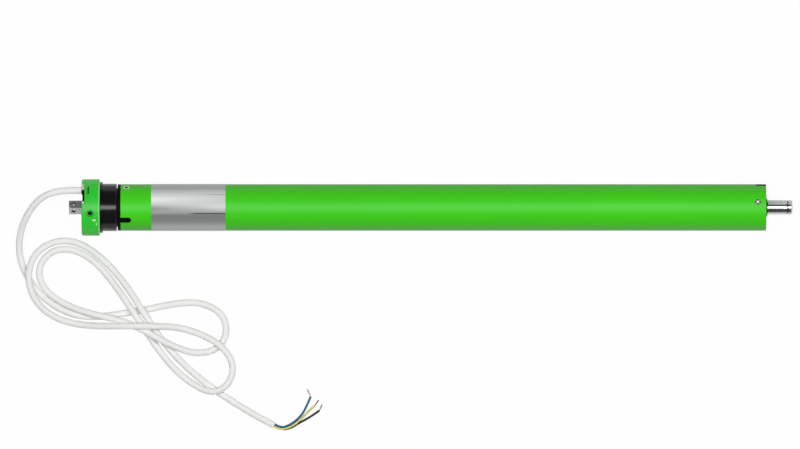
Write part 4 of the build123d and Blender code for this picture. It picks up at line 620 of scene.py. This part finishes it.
def label_foil(name):
    """Brushed silver foil with plain bands and two rules by the angle round the tube, and a painted
    highlight and painted shade that fade away from the head.
    """
    n = Nodes(name)
    x, y, z = n.split()
    angle = n.turn(y, z)
    base = foil_bands(n, angle)
    towards_head = n.span(x, 1.0, 0.0, LABEL_START, LABEL_END)
    for centre, reach, share, colour in FOIL_PAINTED_LIGHTS:
        painted_light = n.span(n.apart(angle, centre), 1.0, 0.0, 0.0, reach, smooth=True)
        base = n.mix(n.times(n.times(painted_light, towards_head), share), base, colour)
    for turn, start_share, full_share, dark in FOIL_RULES:
        rule = n.span(n.apart(angle, turn), dark, 0.0, FOIL_RULE_HALF, FOIL_RULE_FADE)
        start_x = LABEL_START + start_share * LABEL_LENGTH
        full_x = LABEL_START + full_share * LABEL_LENGTH
        fade = n.span(x, 0.0, 1.0, start_x, full_x)
        base = n.mix(n.times(rule, fade), base, FOIL_RULE_COLOUR)
    brushed = n.noise(scale=120.0, detail=5.0, rough=0.6, stretch=(0.4, 30.0, 30.0))
    tint = n.ramp(brushed, (0.90, 0.90, 0.90), (1.0, 1.0, 1.0), low_at=0.25, high_at=0.75)
    base = n.mix(1.0, base, tint, blend="MULTIPLY")
    rough = n.span(brushed, low=0.36, high=0.48)
    normal = n.bump(brushed, strength=0.12, distance=0.02 * MM)
    return n.set(base=base, rough=rough, metal=0.10, normal=normal)


dress("rating_label", label_foil("silver_foil"))


# Cable and its cores

# Control points chosen one by one, from the head to the cable's far end
CABLE_ROUTE = [
    (-0.3375, 0.01641, 0.0404),
    (-0.3572, 0.01720, 0.0404),
    (-0.3780, 0.0100, 0.0350),
    (-0.3925, -0.0090, 0.0220),
    (-0.3993, -0.0310, 0.0090),
    (-0.3978, -0.0530, 0.0033),
    (-0.3880, -0.0730, 0.0033),
    (-0.3730, -0.0900, 0.0033),
    (-0.3525, -0.1027, 0.0033),
    (-0.3270, -0.1068, 0.0033),
    (-0.3010, -0.1032, 0.0033),
    (-0.2770, -0.0993, 0.0033),
    (-0.2520, -0.0938, 0.0033),
    (-0.2290, -0.0913, 0.0033),
    (-0.2105, -0.0968, 0.0033),
    (-0.2002, -0.1066, 0.0033),
    (-0.1974, -0.1198, 0.0033),
    (-0.2020, -0.1323, 0.0033),
    (-0.2130, -0.1400, 0.0033),
    (-0.2295, -0.1414, 0.0036),
    (-0.2465, -0.1359, 0.0085),
    (-0.2640, -0.1270, 0.0134),
    (-0.2840, -0.1156, 0.0136),
    (-0.3060, -0.1078, 0.0118),
    (-0.3297, -0.1030, 0.0106),
    (-0.3524, -0.0952, 0.0050),
    (-0.3705, -0.0836, 0.0039),
    (-0.3790, -0.0707, 0.0033),
    (-0.3795, -0.0580, 0.0033),
    (-0.3731, -0.0468, 0.0033),
    (-0.3617, -0.0404, 0.0033),
    (-0.3460, -0.0406, 0.0033),
    (-0.3290, -0.0493, 0.0033),
    (-0.3135, -0.0653, 0.0033),
    (-0.3000, -0.0836, 0.0085),
    (-0.2881, -0.1011, 0.0112),
    (-0.2777, -0.1166, 0.0065),
    (-0.2660, -0.1350, 0.0033),
    (-0.2503, -0.1549, 0.0033),
    (-0.2326, -0.1703, 0.0036),
    (-0.2138, -0.1797, 0.0098),
    (-0.1996, -0.1754, 0.0112),
    (-0.1917, -0.1628, 0.0112),
    (-0.1920, -0.1492, 0.0112),
    (-0.2010, -0.1355, 0.0108),
    (-0.2185, -0.1242, 0.0085),
    (-0.2425, -0.1162, 0.0075),
    (-0.2670, -0.1150, 0.0178),
    (-0.2880, -0.1146, 0.0220),
    (-0.3110, -0.1150, 0.0160),
    (-0.3350, -0.1145, 0.0065),
    (-0.3590, -0.1096, 0.0033),
    (-0.3780, -0.0975, 0.0050),
    (-0.3888, -0.0796, 0.0102),
    (-0.3900, -0.0605, 0.0108),
    (-0.3828, -0.0436, 0.0060),
    (-0.3675, -0.0335, 0.0033),
    (-0.3485, -0.0316, 0.0033),
    (-0.3295, -0.0401, 0.0033),
    (-0.3115, -0.0560, 0.0033),
    (-0.2965, -0.0735, 0.0060),
    (-0.2850, -0.0910, 0.0109),
    (-0.2747, -0.1070, 0.0094),
    (-0.2643, -0.1235, 0.0046),
    (-0.2510, -0.1402, 0.0033),
    (-0.2330, -0.1584, 0.0033),
    (-0.2112, -0.1756, 0.0033),
    (-0.1880, -0.1908, 0.0033),
    (-0.1668, -0.2034, 0.0033),
    (-0.1517, -0.2111, 0.0033),
]

# The same for each core, from the cable's far end to its bared wires
CORE_ROUTES = {
    "core_blue": [
        (-0.15103, -0.2101, 0.0039),
        (-0.14522, -0.2138, 0.0054),
        (-0.1370, -0.2111, 0.0044),
        (-0.1286, -0.2052, 0.0020),
        (-0.1216, -0.1964, 0.0012),
        (-0.1162, -0.1831, 0.0012),
    ],
    "core_green_yellow": [
        (-0.15237, -0.2121, 0.0039),
        (-0.1462, -0.2153, 0.0040),
        (-0.1378, -0.2139, 0.0033),
        (-0.1288, -0.2084, 0.0030),
        (-0.1210, -0.1998, 0.0013),
        (-0.1119, -0.1916, 0.0014),
    ],
    "core_brown": [
        (-0.1517, -0.2111, 0.00195),
        (-0.14589, -0.2152, 0.0014),
        (-0.1369, -0.2147, 0.0012),
        (-0.1275, -0.2089, 0.0012),
        (-0.1170, -0.2034, 0.0012),
        (-0.1077, -0.1968, 0.0012),
    ],
}

# Where the bared wires of each core end
STRAND_ENDS = {
    "core_blue": (-0.1199, -0.1761, 0.0015),
    "core_green_yellow": (-0.1085, -0.1864, 0.0026),
    "core_brown": (-0.1053, -0.1906, 0.0023),
}
CABLE_DIAMETER = 0.0065
CORE_DIAMETER = 0.0022

# Bared wires of a core: one in the middle and the others round it.
# They start inside the core, twist by an angle in radians and flare by a share of their spread.
# Their ends fall short of the full length by a few uneven steps.
WIRES_ROUND = 6
WIRE_RADIUS = 0.17 * MM
WIRE_SPREAD = 0.38 * MM
WIRE_START_INSIDE = 1.5 * MM
WIRE_TWIST = 1.6
WIRE_FLARE_SHARE = 0.5
WIRE_STEP_SHARE = 0.05


def add_spline(data, route, steps):
    """One smooth NURBS spline with the route's points as its control points."""
    spline = data.splines.new("NURBS")
    spline.points.add(len(route) - 1)
    for point, place in zip(spline.points, route):
        point.co = tuple(place) + (1.0,)
    spline.order_u = 3
    spline.use_endpoint_u = True
    spline.resolution_u = steps


def round_curve(name, radius, roundness, material):
    """A curve without splines yet, with a round section and closed ends."""
    data = bpy.data.curves.new(name, "CURVE")
    data.dimensions = "3D"
    data.bevel_depth = radius
    data.bevel_resolution = roundness
    data.use_fill_caps = True
    data.materials.append(material)
    return data


def curve_along(name, route, diameter, material, roundness):
    """A cable or core along its route."""
    data = round_curve(name, diameter / 2, roundness, material)
    add_spline(data, route, steps=8)
    return new_object(name, data)


cable_pvc = sheath("cable_pvc", (0.825, 0.825, 0.81))
cable = curve_along("cable_sheath", CABLE_ROUTE, CABLE_DIAMETER, cable_pvc, roundness=8)
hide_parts("supply_cable")
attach(cable, "motor")

CORE_MATERIALS = {
    "core_blue": insulation("blue_insulation", (0.010, 0.125, 0.300), (0.004, 0.055, 0.160)),
    "core_green_yellow": striped_core("green_yellow", (0.68, 0.64, 0.15), (0.12, 0.22, 0.02)),
    "core_brown": insulation("brown_insulation", (0.022, 0.009, 0.006), (0.006, 0.004, 0.003)),
}


def strand_wires(name, start, towards, end, material):
    """Fine wires that leave the core in a twist and spread a little."""
    data = round_curve(name, WIRE_RADIUS, roundness=2, material=material)
    start = Vector(start)
    line = Vector(end) - start
    side = line.cross(Vector(UP)).normalized()
    over = side.cross(line).normalized()
    root = start - (start - Vector(towards)).normalized() * WIRE_START_INSIDE
    for wire in range(1 + WIRES_ROUND):
        spread = WIRE_SPREAD if wire else 0.0
        reach = 1.0 - WIRE_STEP_SHARE * ((wire * 3) % 5)
        places = [root]
        for share in (0.1, 0.4, 0.7, reach):
            angle = wire * math.tau / WIRES_ROUND + WIRE_TWIST * share
            wide = spread * (1.0 + WIRE_FLARE_SHARE * share)
            offset = (side * math.cos(angle) + over * math.sin(angle)) * wide
            places.append(start + line * share + offset)
        add_spline(data, places, steps=4)
    piece = new_object(name, data)
    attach(piece, "motor")
    return piece


copper = strand_copper("bare_copper")
for node, route in CORE_ROUTES.items():
    core = curve_along(node + "_insulation", route, CORE_DIAMETER, CORE_MATERIALS[node], roundness=5)
    wires = strand_wires(node + "_strands", route[-1], route[-2], STRAND_ENDS[node], copper)
    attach(core, "motor")
    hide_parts(node)


# Raised marks at the limit screw: an arrow, a bar and a ring, with no words

# How deep a mark is rooted in the head, how high it stands, and how far its edges are softened
MARK_ROOT = 0.30 * MM
MARK_HEIGHT = 0.22 * MM
MARK_SOFTENING = 0.06 * MM
RING_HEIGHT = 0.15 * MM
RING_RADII = (2.9 * MM, 3.6 * MM)
RING_SIDES = 72

# Outlines in millimetres round the middle of each mark, and the middles as X and Y
ARROW = [(-1.9, -0.9), (0.2, -0.9), (0.2, -1.9), (2.0, 0.0), (0.2, 1.9), (0.2, 0.9), (-1.9, 0.9)]
BAR = [(-0.45, -1.7), (0.45, -1.7), (0.45, 1.7), (-0.45, 1.7)]
ARROW_CENTRE = (FACE_X + 12.2 * MM, -12.4 * MM)
BAR_CENTRE = (FACE_X + 14.5 * MM, -16.1 * MM)


def screw_hole():
    """Where the hole of the upper limit screw opens on the head, as X and Y."""
    x, y, z = middle("limit_screw_up")
    return (x, HEAD_RADIUS * y / math.hypot(y, z - AXIS_Z))


def on_head(centre, u, v, radius):
    """The place of a point of a flat drawing that is bent round the head."""
    angle = math.asin(centre[1] / HEAD_RADIUS) + v / HEAD_RADIUS
    return (centre[0] + u, radius * math.sin(angle), AXIS_Z + radius * math.cos(angle))


def mark_piece(name, work, material):
    """Turns the drawn faces into a piece of the head with softened edges."""
    mesh = bpy.data.meshes.new(name)
    bmesh.ops.recalc_face_normals(work, faces=work.faces)
    work.to_mesh(mesh)
    work.free()
    piece = new_object(name, mesh)
    soften = piece.modifiers.new("soften", "BEVEL")
    soften.width = MARK_SOFTENING
    soften.segments = 2
    mesh.materials.append(material)
    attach(piece, "motor")


def join_loops(work, here, there):
    """A strip of faces between two closed loops of corners."""
    for n in range(len(here)):
        m = (n + 1) % len(here)
        work.faces.new((here[n], here[m], there[m], there[n]))


def raised_mark(name, centre, outline, material):
    """A flat shape bent round the head and raised a little from it."""
    work = bmesh.new()
    root, face = (
        [work.verts.new(on_head(centre, u * MM, v * MM, radius)) for u, v in outline]
        for radius in (HEAD_RADIUS - MARK_ROOT, HEAD_RADIUS + MARK_HEIGHT)
    )
    work.faces.new(face)
    work.faces.new(root[::-1])
    join_loops(work, root, face)
    mark_piece(name, work, material)


def raised_ring(name, centre, inner, outer, material):
    """A low ring round a hole of the head."""
    work = bmesh.new()
    low, high = HEAD_RADIUS - MARK_ROOT, HEAD_RADIUS + RING_HEIGHT
    sections = []
    for n in range(RING_SIDES):
        turn = math.tau * n / RING_SIDES
        section = []
        for reach, radius in ((outer, low), (outer, high), (inner, high), (inner, low)):
            place = on_head(centre, reach * math.cos(turn), reach * math.sin(turn), radius)
            section.append(work.verts.new(place))
        sections.append(section)
    for n in range(RING_SIDES):
        join_loops(work, sections[n], sections[(n + 1) % RING_SIDES])
    mark_piece(name, work, material)


mark_green = plastic("mark_plastic", (0.42, 0.86, 0.42), (0.3, 0.4))
raised_mark("head_arrow", ARROW_CENTRE, ARROW, mark_green)
raised_mark("head_bar", BAR_CENTRE, BAR, mark_green)
# The ring is a darker green: painted shade for the dark arcs round the screw's hole
shaded_ring_green = plastic("ring_plastic", (0.007, 0.24, 0.010), (0.34, 0.46), specular=0.32)
raised_ring("head_screw_ring", screw_hole(), *RING_RADII, shaded_ring_green)


# Floor, light and studio

FLOOR_SIZE = 40.0
FLOOR_GREY = (0.80, 0.80, 0.80, 1)
FLOOR_WHITE_SHARE = 0.96
WHITE = (1, 1, 1, 1)
LAMP_PLACE = (0.0, 0.0, 2.0)
LAMP_SIZE = (3.2, 0.55)
LAMP_POWER = 50.0

# Brightness of the studio, and the heights of a direction between which it changes
WALLS = (0.45, 0.45, 0.45, 1)
CEILING = (0.09, 0.09, 0.09, 1)
WALLS_END = 0.02
CEILING_START = 0.24


def seen_directly(tree):
    """1 for rays from the camera, off gloss or through glass."""
    path = tree.nodes.new("ShaderNodeLightPath")
    total = path.outputs["Is Camera Ray"]
    for name in ("Is Glossy Ray", "Is Transmission Ray"):
        add = tree.nodes.new("ShaderNodeMath")
        add.operation = "MAXIMUM"
        tree.links.new(total, add.inputs[0])
        tree.links.new(path.outputs[name], add.inputs[1])
        total = add.outputs[0]
    return total


def mix_shaders(tree, factor, first, second, output):
    """Mixes two shaders into the output."""
    mix = tree.nodes.new("ShaderNodeMixShader")
    for source, target in zip((factor, first.outputs[0], second.outputs[0]), mix.inputs):
        tree.links.new(source, target)
    tree.links.new(mix.outputs[0], output.inputs[0])


def make_floor():
    """A white table top: matte for the light, white to the eye, with a faint shadow."""
    bpy.ops.mesh.primitive_plane_add(size=FLOOR_SIZE, location=(0, 0, 0))
    floor = bpy.context.object
    floor.name = "floor"
    material = bpy.data.materials.new("floor")
    material.use_nodes = True
    tree = material.node_tree
    tree.nodes.clear()
    output = tree.nodes.new("ShaderNodeOutputMaterial")
    matte = tree.nodes.new("ShaderNodeBsdfDiffuse")
    matte.inputs[0].default_value = FLOOR_GREY
    white = tree.nodes.new("ShaderNodeEmission")
    white.inputs[0].default_value = WHITE
    share = tree.nodes.new("ShaderNodeMath")
    share.operation = "MULTIPLY"
    share.inputs[1].default_value = FLOOR_WHITE_SHARE
    tree.links.new(seen_directly(tree), share.inputs[0])
    mix_shaders(tree, share.outputs[0], matte, white, output)
    floor.data.materials.append(material)


def make_lamp():
    """One long soft lamp over the tube, aimed straight down."""
    data = bpy.data.lights.new("overhead", "AREA")
    data.shape = "RECTANGLE"
    data.size, data.size_y = LAMP_SIZE
    data.energy = LAMP_POWER
    lamp = new_object("overhead", data)
    lamp.location = LAMP_PLACE
    lamp.visible_camera = False


def make_world():
    """A pale studio whose ceiling is dimmer than its walls; the eye sees it white."""
    world = bpy.data.worlds.new("world")
    bpy.context.scene.world = world
    world.use_nodes = True
    tree = world.node_tree
    tree.nodes.clear()
    output = tree.nodes.new("ShaderNodeOutputWorld")
    where = tree.nodes.new("ShaderNodeTexCoord")
    split = tree.nodes.new("ShaderNodeSeparateXYZ")
    tree.links.new(where.outputs["Generated"], split.inputs[0])
    ramp = tree.nodes.new("ShaderNodeValToRGB")
    ramp.color_ramp.interpolation = "EASE"
    points = ramp.color_ramp.elements
    points[0].position, points[0].color = WALLS_END, WALLS
    points[1].position, points[1].color = CEILING_START, CEILING
    tree.links.new(split.outputs[2], ramp.inputs[0])
    studio = tree.nodes.new("ShaderNodeBackground")
    tree.links.new(ramp.outputs[0], studio.inputs[0])
    white = tree.nodes.new("ShaderNodeBackground")
    white.inputs[0].default_value = WHITE
    path = tree.nodes.new("ShaderNodeLightPath")
    mix_shaders(tree, path.outputs["Is Camera Ray"], studio, white, output)


make_floor()
make_lamp()
make_world()

bpy.context.scene.view_settings.view_transform = "Standard"
